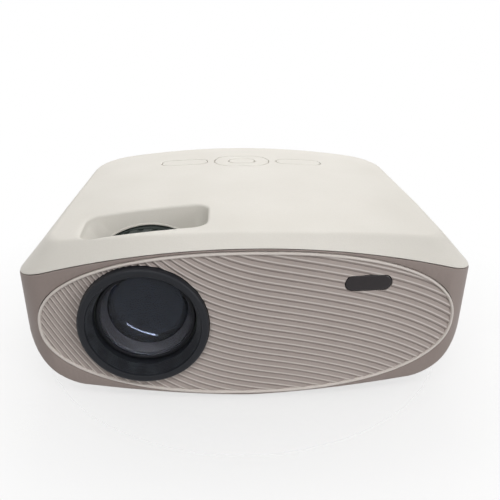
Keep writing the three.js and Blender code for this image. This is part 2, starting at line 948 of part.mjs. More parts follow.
function keyOutlines(grow) {
  const size = (width, depth) => [width + 2 * grow, depth + 2 * grow];
  return {
    left: pill(keyCentreX - longKeyReach, keyCentreY, ...size(longKeyWidth, longKeyDepth)),
    right: pill(keyCentreX + longKeyReach, keyCentreY, ...size(longKeyWidth, longKeyDepth)),
    pad: pill(keyCentreX, keyCentreY, ...size(padWidth, padDepth)),
    ok: pill(keyCentreX, keyCentreY, ...size(okWidth, okDepth)),
  };
}

const keypadPosts = [];
for (const side of [-1, 1]) {
  for (const end of [-1, 1]) {
    const x = keyCentreX + side * (keypadHalf - postRadius);
    keypadPosts.push([x, keyCentreY + end * (padDepth / 2)]);
  }
}

function makeTopCover() {
  const slotFront = focusStart - ringGap - clipWidth - clearance;
  const slot = lensHole(ringRadius + slotMargin, slotFront, pocketRear);
  const shell = cut(coverSkin, coverHollow);
  const tray = pocketBody(-pocketWall, pocketFloor - pocketWall).intersect(coverSkin);
  const pillars = caseScrews.map(([x, y]) =>
    rod('z', pillarRadius, pillarJoint + clearance, bodyTop, [x, y], postSides));
  const posts = keypadPosts.map(([x, y]) =>
    rod('z', postRadius, keypadBoardTop + clearance, bodyTop, [x, y], postSides));
  const body = join(shell, tray, join(...pillars, ...posts).intersect(roomUnderRoof));
  const keys = keyOutlines(keyGap);
  const keyHoles = [keys.left, keys.right, keys.pad];
  const holes = keyHoles.map((outline) => prismZ(outline, matTop, bodyTop + overrun));
  const bores = caseScrews.map(([x, y]) =>
    rod('z', screwRadius + clearance, 0, screwSeat + screwLength, [x, y], postSides));
  return cut(body, pocketBody(0, pocketFloor), slot, ...holes, ...bores);
}

function ventRow(count, pitch, width, start, make) {
  return Array.from({ length: count }, (_, k) => {
    const middle = start + k * pitch;
    return make(middle - width / 2, middle + width / 2);
  });
}

function makeLowerHousing() {
  const shell = cut(tubSkin, tubHollow(wall));
  const ledge = bowedLayer(-half, half, 0, bodyTop, wall / 2, panelBack + ledgeDepth + clearance)
    .intersect(prismY(oval(ledgeWidth + clearance), bodyFront, 0))
    .intersect(tubSkin);
  const screwPosts = caseScrews.map(([x, y]) => rod('z', pillarRadius, 0, pillarJoint, [x, y], postSides));
  const post = (x, y, top) => boxAt(x, y, 0, 2 * postRadius, 2 * postRadius, top - clearance);
  const inner = opticsWidth / 2 - postRadius;
  const carriers = [
    post(lensX - inner, opticsFront + postRadius, lensZ - opticsHeight / 2),
    post(lensX + inner, opticsFront + postRadius, lensZ - opticsHeight / 2),
    post(lensX - inner, opticsRear - postRadius, lensZ - opticsHeight / 2),
    post(lensX + inner, opticsRear - postRadius, lensZ - opticsHeight / 2),
    post(powerLeft + postRadius, powerFront + postRadius, powerZ),
    post(powerRight - postRadius, powerFront + postRadius, powerZ),
    post(powerLeft + postRadius, powerRear - postRadius, powerZ),
    post(powerRight - postRadius, powerRear - postRadius, powerZ),
    post(mainLeft + postRadius, mainFront + postRadius, mainZ),
    post(mainRight - postRadius, mainFront + postRadius, mainZ),
    post(mainLeft + postRadius, mainRear - 2 * postRadius, mainZ),
    post(mainRight - postRadius, mainRear - 2 * postRadius, mainZ),
  ];
  const stemBossBody = rod('z', stemBoss, 0, bellyBottom + stemBossHeight, [0, screwFootY], smallSides);
  const tripodBossBody = rod('z', tripodBoss, 0, bellyBottom + tripodLength + wall, [0, tripodY], smallSides);
  const fittings = join(...screwPosts, ...carriers, stemBossBody, tripodBossBody).intersect(tubSkin);
  const body = join(shell, ledge, fittings);

  const far = bodyFront + frontBow + overrun;
  const opening = bowedLayer(-half, half, 0, bodyTop, -overrun, panelBack + clearance)
    .intersect(prismY(oval(clearance), bodyFront - 2 * overrun, far));
  const through = prismY(oval(-ledgeWidth), bodyFront - overrun, far);
  const bezelRoom = lensHole(bezelFlange + clearance, bodyFront - overrun, bezelBack + clearance);
  const sideVents = ventRow(sideVentCount, sideVentPitch, sideVentWidth, sideVentStart, (y0, y1) =>
    box(-half - overrun, half + overrun, y0, y1, sideVentBottom, sideVentTop));
  const rearStart = lensX - ((rearVentCount - 1) * rearVentPitch) / 2;
  const rearVents = ventRow(rearVentCount, rearVentPitch, rearVentWidth, rearStart, (x0, x1) =>
    box(x0, x1, fanBack, bodyRear + overrun, rearVentBottom, rearVentTop));
  const bellyVents = ventRow(bellyVentCount, bellyVentPitch, bellyVentWidth, bellyVentX, (x0, x1) =>
    boxAt((x0 + x1) / 2, bellyVentY, 0, x1 - x0, bellyVentLength, powerZ - clearance));
  const bay = box(bayLeft, bayRight, bayFloorY, bodyRear + overrun, bayBottom, bayTop);
  const screwHoles = caseScrews.flatMap(([x, y]) => [
    rod('z', screwRadius + clearance, 0, pillarJoint + overrun, [x, y], postSides),
    rod('z', screwHead + clearance, 0, screwSeat, [x, y], smallSides),
  ]);
  const stemHole = rod('z', stemRadius + clearance, 0, seamTop, [0, screwFootY], smallSides);
  const tripodTop = bellyBottom + tripodLength + clearance;
  const tripodHole = rod('z', tripodRadius + clearance, 0, tripodTop, [0, tripodY], wheelSides);
  const front = [opening, through, bezelRoom];
  const vents = [...sideVents, ...rearVents, ...bellyVents];
  return cut(body, ...front, ...vents, bay, ...screwHoles, stemHole, tripodHole);
}

// Lens

function makeLensBezel() {
  return turned([
    [bezelMouth, bezelFront],
    [bezelRadius - bezelFrontEdge, bezelFront],
    [bezelRadius, bezelFront + bezelFrontEdge],
    [bezelRadius, bezelBack - bezelFlangeThickness],
    [bezelFlange, bezelBack - bezelFlangeThickness],
    [bezelFlange, bezelBack],
    [bezelThroat, bezelBack],
    [bezelThroat, bezelFront + bezelConeDepth],
    [bezelMouth, bezelFront],
  ], lensSides);
}

function makeLensBarrel() {
  const inner = barrelRadius - barrelWall;
  return turned([
    [inner - lipReach, barrelFront],
    [barrelRadius, barrelFront],
    [barrelRadius, barrelBack],
    [inner, barrelBack],
    [inner, barrelFront + barrelLip],
    [inner - lipReach, barrelFront + barrelLip],
    [inner - lipReach, barrelFront],
  ]);
}

// One face of a lens: an arc from the axis out to the rim, bulging by sag
function lensArc(radius, sag, edgeY, direction, steps = 3) {
  const sphere = (radius * radius + sag * sag) / (2 * sag);
  return Array.from({ length: steps + 1 }, (_, k) => {
    const r = (radius * k) / steps;
    const bulge = Math.sqrt(sphere * sphere - r * r) - (sphere - sag);
    return [r, edgeY + direction * bulge];
  });
}

// A lens with a flat shoulder round each polished face; each face is given as [radius, bulge]
function lensBlank(radius, front, rim, back, startY) {
  const near = lensArc(...front, startY, -1);
  const far = lensArc(...back, startY + rim, 1).reverse();
  return turned([...near, [radius, startY], [radius, startY + rim], ...far], innerSides);
}

const glassRadius = barrelRadius - barrelWall - clearance;
const frontFace = barrelRadius - barrelWall - lipReach - clearance;
const spacerBore = glassRadius - spacerWall;
const stepBore = spacerBore - (spacerSteps - 1) * spacerStepGrow;
const frontGlassY = barrelFront + barrelLip + clearance;
const spacerStart = frontGlassY + frontRim + clearance;
const retainerStart = barrelBack - retainerLength;
const rearGlassY = retainerStart - clearance - rearLensRim;

function makeSpacer() {
  const end = rearGlassY - clearance;
  const stepLength = (end - spacerStart) / spacerSteps;
  const profile = [[glassRadius, spacerStart], [glassRadius, end]];
  for (let k = spacerSteps; k >= 1; k -= 1) {
    const bore = spacerBore - (k - 1) * spacerStepGrow;
    profile.push([bore, spacerStart + k * stepLength], [bore, spacerStart + (k - 1) * stepLength]);
  }
  return turned([...profile, profile[0]]);
}

function makeSleeve() {
  const collar = sleeveOuter + collarHeight;
  return turned([
    [sleeveInner, sleeveFront],
    [sleeveOuter, sleeveFront],
    [sleeveOuter, collarStart],
    [collar, collarStart],
    [collar, collarStart + collarWidth],
    [sleeveOuter, collarStart + collarWidth],
    [sleeveOuter, sleeveBack - sleeveFlangeThickness],
    [sleeveFlange - wall, sleeveBack - sleeveFlangeThickness],
    [sleeveFlange - wall, sleeveBack],
    [sleeveInner, sleeveBack],
    [sleeveInner, sleeveFront],
  ]);
}

function knurledOutline() {
  const points = [];
  for (let k = 0; k < knurlCount; k += 1) {
    for (const [share, drop] of [[0, knurlDepth], [0.25, 0], [0.75, 0]]) {
      const angle = (2 * Math.PI * (k + share)) / knurlCount;
      const radius = ringRadius - drop;
      points.push([lensX + radius * Math.cos(angle), lensZ + radius * Math.sin(angle)]);
    }
  }
  return points;
}

function makeRing(start) {
  const bore = sleeveOuter + ringRun;
  return prismY(knurledOutline(), start, start + ringWidth, circle(bore, innerSides, [lensX, lensZ]));
}

function makeClip() {
  const start = focusStart - ringGap - clipWidth;
  const bore = sleeveOuter + ringGap / 2;
  const ring = tube('y', bore + clipHeight, bore, start, start + clipWidth, [lensX, lensZ]);
  const mouth = box(lensX - clipHeight, lensX + clipHeight, start - overrun, start + overrun, 0, lensZ);
  return cut(ring, mouth);
}

// Optics

const opticsLeft = lensX - opticsWidth / 2;
const opticsRight = lensX + opticsWidth / 2;
const opticsBottom = lensZ - opticsHeight / 2;
const opticsTop = lensZ + opticsHeight / 2;
const condenserFace = condenserRadius - condenserRim / 2;
const ledBoardY = opticsRear + clearance;
const sinkStart = ledBoardY + ledBoardThickness + clearance;
const sinkEnd = sinkStart + sinkDepth;
const fanFront = sinkEnd + clearance;
const fanBack = fanFront + fanDepth;

function makeOpticalHousing() {
  const outer = box(opticsLeft, opticsRight, opticsFront, opticsRear, opticsBottom, opticsTop);
  const inner = box(
    opticsLeft + opticsWall,
    opticsRight - opticsWall,
    opticsFront + opticsWall,
    opticsRear - opticsWall,
    opticsBottom + opticsWall,
    opticsTop + overrun,
  );
  const lightWay = rod('y', lightHole, opticsFront - overrun, opticsRear + overrun, [lensX, lensZ]);
  const airWay = rod('x', panelFanBore, opticsRight - overrun, opticsRight + overrun, [panelFanY, lensZ]);
  const seatY = condenserY + condenserRim + clearance;
  const seat = box(
    opticsLeft + opticsWall / 2,
    opticsRight - opticsWall / 2,
    seatY,
    seatY + opticsWall,
    opticsBottom + opticsWall / 2,
    opticsTop,
  );
  const seatHole = rod('y', condenserFace, seatY - overrun, seatY + overrun, [lensX, lensZ]);
  return join(cut(outer, inner, lightWay, airWay), cut(seat, seatHole));
}

function makeOpticalLid() {
  const start = opticsTop + clearance;
  const lidFront = opticsFront + opticsWall / 2;
  const plate = box(opticsLeft, opticsRight, lidFront, opticsRear, start, start + lidThickness);
  const rail = (y) => box(
    opticsLeft + opticsWall + clearance,
    opticsRight - opticsWall - clearance,
    y - opticsWall / 2,
    y + opticsWall / 2,
    opticsTop - opticsWall,
    start + lidThickness,
  );
  return join(plate, rail(opticsFront + 3 * opticsWall), rail(fieldLensRearY + 3 * opticsWall));
}

function frame(width, height, border, y, thickness) {
  const z = lensZ - height / 2;
  const outer = boxAt(lensX, y, z, width, thickness, height);
  const hole = boxAt(lensX, y, z + border, width - 2 * border, thickness + overrun, height - 2 * border);
  return cut(outer, hole);
}

function makeKeystoneCell() {
  const plate = frame(cellWidth, cellHeight, cellBorder, cellY, cellThickness);
  const seatWidth = cellWidth - cellBorder;
  const seatHeight = cellHeight - cellBorder;
  const seatDepth = 2 * (panelGlass + clearance);
  const seatY = cellY - cellThickness / 2;
  const seat = boxAt(lensX, seatY, lensZ - seatHeight / 2, seatWidth, seatDepth, seatHeight);
  const pins = [-1, 1].map((side) => {
    const x = lensX + (side * cellWidth) / 2;
    return rod('x', opticsWall, x - opticsWall / 2, x + opticsWall / 2, [cellY, lensZ], smallSides);
  });
  return cut(join(plate, ...pins), seat);
}

function makeLcdPanel() {
  const width = cellWidth - cellBorder - 2 * clearance;
  const height = cellHeight - cellBorder - 2 * clearance;
  const y = cellY - cellThickness / 2 + panelGlass / 2;
  return boxAt(lensX, y, lensZ - height / 2, width, panelGlass, height);
}

function makeFieldLens(y) {
  return boxAt(lensX, y, lensZ - fieldLensHeight / 2, fieldLensWidth, fieldLensThickness, fieldLensHeight);
}

function makeCondenser() {
  const front = [condenserFace, condenserSag];
  return lensBlank(condenserRadius, front, condenserRim, [condenserFace, condenserBack], condenserY);
}

function makeLedModule() {
  const plate = boxAt(
    lensX,
    ledBoardY + ledBoardThickness / 2,
    lensZ - ledBoardSize / 2,
    ledBoardSize,
    ledBoardThickness,
    ledBoardSize,
  );
  const arc = lensArc(ledDomeRadius, ledDomeHeight, ledBoardY, -1);
  const dome = turned([...arc, [0, ledBoardY + ledBoardThickness / 2]], smallSides);
  return join(plate, dome);
}

function makeHeatSink() {
  const z = lensZ - sinkHeight / 2;
  const base = boxAt(lensX, sinkStart + sinkBase / 2, z, sinkWidth, sinkBase, sinkHeight);
  const pitch = (sinkWidth - finThickness) / (finCount - 1);
  const fins = Array.from({ length: finCount }, (_, k) => {
    const x = lensX - sinkWidth / 2 + finThickness / 2 + k * pitch;
    return boxAt(x, sinkStart + sinkDepth / 2, z, finThickness, sinkDepth, sinkHeight);
  });
  return join(base, ...fins);
}

// Fans, made along Y about the origin and then turned into place

function fanFrameShape(size, depth, bore, hub) {
  const corner = size / 2;
  const outline = [[-corner, -corner], [corner, -corner], [corner, corner], [-corner, corner]];
  const duct = prismY(outline, 0, depth, circle(bore, innerSides));
  const plate = rod('y', hub, depth - motorPlate, depth, [0, 0]);
  const strut = (turn) => {
    const bar = new THREE.BoxGeometry(2 * bore + strutWidth, motorPlate, strutWidth);
    bar.translate(0, depth - motorPlate / 2, 0);
    bar.rotateY(turn);
    return toSolid(bar);
  };
  return join(duct, plate, strut(Math.PI / 4), strut(-Math.PI / 4));
}

function fanRotorShape(depth, bore, hub) {
  const start = hubEndGap;
  const end = depth - motorPlate - hubEndGap;
  const tip = bore - tipGap;
  const blade = (turn) => {
    const at = (i, j, lift) => {
      const radius = hub - bladeThickness + (tip - hub + bladeThickness) * i;
      const angle = turn + bladeTurn * (j / 2 - 1 / 2) * (hub / radius + 1 / 2);
      const y = start + bladeThickness + (end - start - 2 * bladeThickness) * (j / 2) + lift;
      return [radius * Math.cos(angle), y, radius * Math.sin(angle)];
    };
    const low = (i, j) => at(i, j, -bladeThickness / 2);
    const high = (i, j) => at(i, j, bladeThickness / 2);
    return gridBlock(1, 2, low, high);
  };
  const blades = Array.from({ length: bladeCount }, (_, k) => blade((2 * Math.PI * k) / bladeCount));
  return join(rod('y', hub, start, end, [0, 0]), ...blades);
}

function placed(mesh, [x, y, z], turnZ = 0) {
  mesh.position.set(x, y, z);
  mesh.rotation.z = turnZ;
}

// Keys

// A key cap: its outline under the roof's own surface, so that it lies flush
function keyCap(outline, hole, inset = 0) {
  const roof = caseBody([
    level((x, y, along) => roofAt(along, y) - keyThickness, roofInset()),
    level((x, y, along) => roofAt(along, y) - inset, roofInset()),
  ]);
  return prismZ(outline, matTop, bodyTop + overrun, hole).intersect(roof);
}

function nub(x, y, top, radius = nubRadius) {
  return rod('z', radius, matTop + clearance, top, [x, y], postSides);
}

function makeLongKey(side) {
  const x = keyCentreX + side * longKeyReach;
  const outline = side < 0 ? keyOutlines(0).left : keyOutlines(0).right;
  return join(keyCap(outline), nub(x, keyCentreY, roofAt(x, keyCentreY) - keyThickness / 2));
}

const carrierTop = matTop + clearance + carrierGap / 2 + carrierThickness;

function makePad() {
  const { pad } = keyOutlines(0);
  const { ok } = keyOutlines(keyGap);
  const reach = padDepth / 2 - (keyGap + carrierRing) / 2;
  const top = keyBottom + keyThickness / 2;
  const pivots = [-1, 1].map((side) => {
    const y = keyCentreY + side * reach;
    return rod('z', nubRadius, carrierTop + clearance, top, [keyCentreX, y], postSides);
  });
  return join(keyCap(pad, ok), ...pivots);
}

function makeCarrier() {
  const outer = pill(keyCentreX, keyCentreY, padWidth - 2 * keyGap, padDepth - 2 * keyGap);
  const inner = pill(keyCentreX, keyCentreY, padWidth - 2 * carrierRing, padDepth - 2 * carrierRing);
  const plate = prismZ(outer, carrierTop - carrierThickness, carrierTop, inner);
  const reach = padWidth / 2 - (keyGap + carrierRing) / 2;
  const pivot = (side) => nub(keyCentreX + side * reach, keyCentreY, carrierTop, carrierThickness);
  return join(plate, pivot(-1), pivot(1));
}

function makeOkButton() {
  const cap = keyCap(keyOutlines(0).ok);
  const bottom = matTop + okTravel + clearance;
  const stem = rod('z', nubRadius, bottom, keyBottom + keyThickness / 2, [keyCentreX, keyCentreY], postSides);
  return join(cap, stem);
}

// Boards

function makePowerBoard() {
  const plate = box(powerLeft, powerRight, powerFront, powerRear, powerZ, powerZ + boardThickness);
  const top = powerZ + boardThickness / 2;
  const middleY = (powerFront + powerRear) / 2;
  const transformer = boxAt(powerLeft + transformerSize, middleY, top, transformerSize, transformerSize,
    transformerHeight);
  const capacitorX = powerRight - capacitorRadius - boardThickness;
  const capacitor = rod('y', capacitorRadius, middleY - capacitorLength / 2, middleY + capacitorLength / 2,
    [capacitorX, top + capacitorRadius - boardThickness / 2]);
  const coilX = (powerLeft + powerRight) / 2 + coilRadius;
  const coil = rod('z', coilRadius, top, top + coilHeight, [coilX, middleY]);
  return join(plate, transformer, capacitor, coil);
}

function makeMainBoard() {
  const plate = box(mainLeft, mainRight, mainFront, mainRear - socketDepth, mainZ, mainZ + boardThickness);
  const tongueTop = socketFloor - clearance;
  const tongue = box(mainLeft, mainRight, mainRear - socketDepth, bayFloorY - clearance, mainZ, tongueTop);
  const middleX = (mainLeft + mainRight) / 2;
  const chipY = mainFront + chipSize;
  const top = mainZ + boardThickness / 2;
  const chip = boxAt(middleX, chipY, top, chipSize, chipSize, chipHeight / 2);
  const fins = Array.from({ length: chipFins }, (_, k) => {
    const x = middleX + chipSize * ((k + 1 / 2) / chipFins - 1 / 2);
    return boxAt(x, chipY, top, finThickness, chipSize, chipHeight);
  });
  const tuner = boxAt(mainRight - tunerWidth, chipY, top, tunerWidth, tunerDepth, tunerHeight);
  return join(plate, tongue, chip, ...fins, tuner);
}

// Sockets: each is an open-ended shell that stands on the main board and shows at the port panel

const socketFloor = mainZ + boardThickness;
const socketFront = bayFloorY - socketDepth + bayPlate;

function boxSocket(x, width, height, rise = 0) {
  const z = socketFloor + rise;
  const y = (socketFront + bayFloorY + bayPlate) / 2;
  const shell = boxAt(x, y, z, width, socketDepth, height);
  const mouth = boxAt(
    x,
    y + socketBack,
    z + socketWall,
    width - 2 * socketWall,
    socketDepth,
    height - 2 * socketWall,
  );
  return cut(shell, mouth);
}

function makeJack(x) {
  const z = socketFloor + jackRadius;
  const side = 2 * jackRadius;
  const block = boxAt(x, (socketFront + bayFloorY) / 2 - clearance, socketFloor, side,
    bayFloorY - socketFront - 2 * clearance, side);
  const nose = rod('y', jackRadius, socketFront, bayFloorY + bayPlate, [x, z], smallSides);
  return cut(join(block, nose), rod('y', jackBore, socketFront + socketBack, bodyRear, [x, z], smallSides));
}

function makeInlet() {
  const z = socketFloor;
  const middleZ = z + inletHeight / 2;
  const end = bayFloorY + bayPlate;
  const shell = prismY(pill(inletX, middleZ, inletWidth, inletHeight), socketFront, end);
  const mouth = prismY(
    pill(inletX, middleZ, inletWidth - 2 * inletWall, inletHeight - 2 * inletWall),
    socketFront + inletWall,
    end + overrun,
  );
  const pins = [-1, 1].map((side) =>
    rod('y', pinRadius, socketFront, end - inletWall, [inletX + side * pinSpread, middleZ], postSides));
  return join(cut(shell, mouth), ...pins);
}

// The bay round the sockets: a plate with walls that reach the inside of the bowed tail
function makePortPanel() {
  const block = box(
    bayLeft - bayPlate,
    bayRight + bayPlate,
    bayFloorY,
    bodyRear,
    bayBottom - bayPlate,
    bayTop + bayPlate,
  ).intersect(tubHollow(wall + clearance));
  const room = box(bayLeft, bayRight, bayFloorY + bayPlate, bodyRear + overrun, bayBottom, bayTop);
  const gap = clearance;
  const hole = (x, width, height, rise = 0) => box(
    x - width / 2 - gap,
    x + width / 2 + gap,
    bayFloorY - overrun,
    bodyRear + overrun,
    socketFloor + rise - gap,
    socketFloor + rise + height + gap,
  );
  const jackZ = socketFloor + jackRadius;
  const jackHole = (x) => rod('y', jackRadius + gap, bayFloorY - overrun, bodyRear, [x, jackZ], smallSides);
  const inletHole = prismY(
    pill(inletX, socketFloor + inletHeight / 2, inletWidth + 2 * gap, inletHeight + 2 * gap),
    bayFloorY - overrun,
    bodyRear,
  );
  return cut(
    block,
    room,
    hole(hdmiX, hdmiWidth, hdmiHeight),
    hole(usbX, usbWidth, usbHeight + usbRise),
    jackHole(jackFirstX),
    jackHole(jackSecondX),
    inletHole,
  );
}

// Half the width of the case at a place along its side
function sideAt(y) {
  const start = bodyFront + frontBow + frontCorner;
  const end = bodyRear - rearBow - rearCorner;
  return half - (rearTaper * (y - start)) / (end - start);
}

// A speaker: an oval plate, a tapered basket and a magnet, facing the side vents
function makeSpeaker(side) {
  const face = side * (sideAt(speakerY + speakerLength / 2) - wall - 2 * clearance);
  const inward = -side;
  const ends = (from, to) => [face + inward * from, face + inward * to].sort((a, b) => a - b);
  const slab = (from, to, length, height) => {
    const [x0, x1] = ends(from, to);
    const outline = pill(speakerY, speakerZ, length, height);
    const shape = new THREE.Shape(outline.map(([y, z]) => new THREE.Vector2(y, z)));
    const geometry = new THREE.ExtrudeGeometry(shape, { depth: x1 - x0, bevelEnabled: false });
    geometry.rotateX(Math.PI / 2);
    geometry.rotateZ(Math.PI / 2);
    geometry.translate(x0, 0, 0);
    return toSolid(geometry);
  };
  const basket = speakerHeight - 2 * speakerPlate;
  return join(
    slab(0, speakerPlate, speakerLength, speakerHeight),
    slab(speakerPlate / 2, speakerDepth / 2, speakerLength - 2 * speakerPlate, basket),
    rod('x', basket / 2 - speakerPlate, ...ends(0, speakerDepth), [speakerY, speakerZ]),
  );
}

// Feet and fasteners

function underBelly(solid) {
  const lifted = tubSkin.translate([0, 0, -clearance]);
  return cut(solid, lifted);
}

function makeFoot([x, y]) {
  return underBelly(rod('z', footRadius - footFlare, 0, bellyBendTop / 3, [x, y], wheelSides, footRadius));
}

function makeScrewFoot() {
  const disc = rod('z', screwFootRadius, clearance, clearance + screwFootThickness, [0, screwFootY]);
  return join(disc, rod('z', stemRadius, clearance, stemLength, [0, screwFootY], smallSides));
}

function makeTripodInsert() {
  const top = bellyBottom + tripodLength;
  return tube('z', tripodRadius, tripodBore, bellyBottom, top, [0, tripodY], wheelSides);
}

function makeCaseScrew([x, y]) {
  const headTop = screwSeat - clearance;
  return join(
    rod('z', screwHead, headTop - screwHeadHeight, headTop, [x, y], smallSides),
    rod('z', screwRadius, headTop - screwHeadHeight, headTop + screwLength - clearance, [x, y], postSides),
  );
}

// Assembly

addPart('top_cover', makeTopCover(), materials.cover);
addPart('lower_housing', makeLowerHousing(), materials.housing);
addPart('front_panel', makeFrontPanel(), materials.panel);
addPart('ir_window', makeIrWindow(), materials.window);

const receiverY = frontAt(irX) + panelBack + wall;
const receiverMiddle = receiverY + receiverBoard / 2;
const receiverZ = irZ - receiverHeight / 2;
addPart('ir_receiver', join(
  boxAt(irX, receiverMiddle, receiverZ, receiverWidth, receiverBoard, receiverHeight),
  rod('y', eyeRadius, receiverY - wall + ringGap, receiverMiddle, [irX, irZ], smallSides),
), materials.board);

addPart('lens_bezel', makeLensBezel(), materials.black);
addPart('lens_barrel', makeLensBarrel(), materials.innerBlack);
addPart('front_lens', lensBlank(
  glassRadius,
  [frontFace, frontSag],
  frontRim,
  [spacerBore - clearance, frontBackSag],
  frontGlassY,
), materials.glass);
addPart('lens_spacer', makeSpacer(), materials.innerBlack);
addPart('rear_lens', lensBlank(
  glassRadius,
  [stepBore - clearance, rearLensSag],
  rearLensRim,
  [spacerBore - clearance, frontBackSag],
  rearGlassY,
), materials.glass);
const retainer = tube('y', glassRadius, spacerBore, retainerStart, barrelBack, [lensX, lensZ]);
addPart('lens_retainer', retainer, materials.innerBlack);
addPart('lens_sleeve', makeSleeve(), materials.innerBlack);
addPart('ring_clip', makeClip(), materials.steel);
addPart('focus_ring', makeRing(focusStart), materials.darkGrip);
addPart('keystone_ring', makeRing(keystoneStart), materials.darkGrip);

addPart('optical_housing', makeOpticalHousing(), materials.innerBlack);
addPart('optical_lid', makeOpticalLid(), materials.innerBlack);
addPart('keystone_cell', makeKeystoneCell(), materials.innerBlack);
addPart('lcd_panel', makeLcdPanel(), materials.glass);
addPart('field_lens_front', makeFieldLens(fieldLensFrontY), materials.glass);
addPart('field_lens_rear', makeFieldLens(fieldLensRearY), materials.glass);
addPart('condenser_lens', makeCondenser(), materials.glass);
addPart('led_module', makeLedModule(), materials.aluminium);
addPart('heat_sink', makeHeatSink(), materials.aluminium);

const exhaustPlace = [lensX, fanFront, lensZ];
const exhaustFrame = fanFrameShape(fanSize, fanDepth, fanBore, fanHub);
placed(addPart('exhaust_fan_frame', exhaustFrame, materials.black), exhaustPlace);
placed(addPart('exhaust_fan_rotor', fanRotorShape(fanDepth, fanBore, fanHub), materials.black), exhaustPlace);
const panelFanPlace = [opticsRight + clearance + panelFanDepth, panelFanY, lensZ];
const panelFanTurn = Math.PI / 2;
const panelFrame = fanFrameShape(panelFanSize, panelFanDepth, panelFanBore, panelFanHub);
const panelRotor = fanRotorShape(panelFanDepth, panelFanBore, panelFanHub);
placed(addPart('panel_fan_frame', panelFrame, materials.black), panelFanPlace, panelFanTurn);
placed(addPart('panel_fan_rotor', panelRotor, materials.black), panelFanPlace, panelFanTurn);
const filterStart = panelFanPlace[0] + clearance;
addPart('dust_filter', boxAt(filterStart + filterDepth / 2, panelFanY, lensZ - panelFanSize / 2, filterDepth,
  panelFanSize, panelFanSize), materials.foam);

addPart('power_board', makePowerBoard(), materials.board);
addPart('main_board', makeMainBoard(), materials.board);
const keypadY0 = keyCentreY - padDepth / 2 - keypadMargin;
const keypadY1 = keyCentreY + padDepth / 2 + keypadMargin;
addPart('keypad_board', box(keyCentreX - keypadHalf, keyCentreX + keypadHalf, keypadY0, keypadY1,
  keypadBoardTop - boardThickness, keypadBoardTop), materials.board);
const matHalf = keypadHalf - 2 * postRadius - clearance;
addPart('key_mat', box(keyCentreX - matHalf, keyCentreX + matHalf, keypadY0, keypadY1,
  matTop - matThickness, matTop), materials.rubber);
addPart('speaker_left', makeSpeaker(-1), materials.black);
addPart('speaker_right', makeSpeaker(1), materials.black);

addPart('port_panel', makePortPanel(), materials.housing);
addPart('hdmi_socket', boxSocket(hdmiX, hdmiWidth, hdmiHeight), materials.steel);
addPart('usb_socket_lower', boxSocket(usbX, usbWidth, usbHeight), materials.steel);
addPart('usb_socket_upper', boxSocket(usbX, usbWidth, usbHeight, usbRise), materials.steel);
addPart('av_jack', makeJack(jackFirstX), materials.black);
addPart('headphone_jack', makeJack(jackSecondX), materials.black);
addPart('power_inlet', makeInlet(), materials.black);

addPart('ok_button', makeOkButton(), materials.keys);
addPart('direction_pad', makePad(), materials.keys);
addPart('pad_carrier', makeCarrier(), materials.black);
addPart('left_key', makeLongKey(-1), materials.keys);
addPart('right_key', makeLongKey(1), materials.keys);

feet.forEach((place, k) => addPart(`rubber_foot_${k + 1}`, makeFoot(place), materials.rubber));
addPart('screw_foot', makeScrewFoot(), materials.rubber);
addPart('tripod_insert', makeTripodInsert(), materials.brass);
caseScrews.forEach((place, k) => addPart(`case_screw_${k + 1}`, makeCaseScrew(place), materials.steel));

export default model;
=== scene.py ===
# %% [markdown]
# # A compact home projector
# The case is a warm grey tub with an arched rim. A pale crowned cover with bevelled edges closes it.
# In front stands an oval panel with fine curved ribs, a deep black lens ring and a dark infrared window.
# The CAD frame gives every body its place. The pieces below are finer looks for the same parts, and
# each one rides on its CAD body, so it moves with the joints.

import json
import math

import bmesh
import bpy
import numpy as np
from mathutils import Matrix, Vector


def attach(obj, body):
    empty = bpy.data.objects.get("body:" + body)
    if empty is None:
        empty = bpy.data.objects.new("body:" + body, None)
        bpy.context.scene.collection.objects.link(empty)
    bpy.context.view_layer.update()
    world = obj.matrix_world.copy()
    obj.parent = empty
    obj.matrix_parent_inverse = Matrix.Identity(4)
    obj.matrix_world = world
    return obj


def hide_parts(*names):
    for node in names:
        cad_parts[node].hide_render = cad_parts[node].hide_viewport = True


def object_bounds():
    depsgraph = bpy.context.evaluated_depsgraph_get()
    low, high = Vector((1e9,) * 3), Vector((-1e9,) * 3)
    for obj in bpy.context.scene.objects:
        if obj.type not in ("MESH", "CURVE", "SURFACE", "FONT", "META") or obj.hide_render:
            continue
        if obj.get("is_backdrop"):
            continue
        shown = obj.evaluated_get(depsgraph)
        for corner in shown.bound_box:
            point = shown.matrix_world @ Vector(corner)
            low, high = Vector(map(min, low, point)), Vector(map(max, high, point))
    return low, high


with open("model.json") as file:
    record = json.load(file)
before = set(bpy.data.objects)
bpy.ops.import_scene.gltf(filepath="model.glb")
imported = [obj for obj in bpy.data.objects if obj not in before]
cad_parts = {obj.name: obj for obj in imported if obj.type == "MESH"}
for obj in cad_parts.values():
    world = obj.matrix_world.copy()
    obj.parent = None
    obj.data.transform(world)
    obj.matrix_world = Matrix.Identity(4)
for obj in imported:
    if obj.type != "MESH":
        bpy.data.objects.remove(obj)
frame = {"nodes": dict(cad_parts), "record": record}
record = frame["record"]
slot_of = {part["node"]: part["material_slot"] for part in record["subparts"]}
body_of = {node: body for body, nodes in record["behaviour"]["bodies"].items() for node in nodes}
cad_low, cad_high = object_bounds()
print("CAD box in metres:", [round(v, 4) for v in (*cad_low, *cad_high)])

# %% [markdown]
# ## Camera
# The photo was taken from in front and above, a little to the left, from about 36 cm away. A camera
# could be placed by eye. These numbers were solved from the case's corners, the lens ring and the
# window, so the render and the photo can be laid over each other.

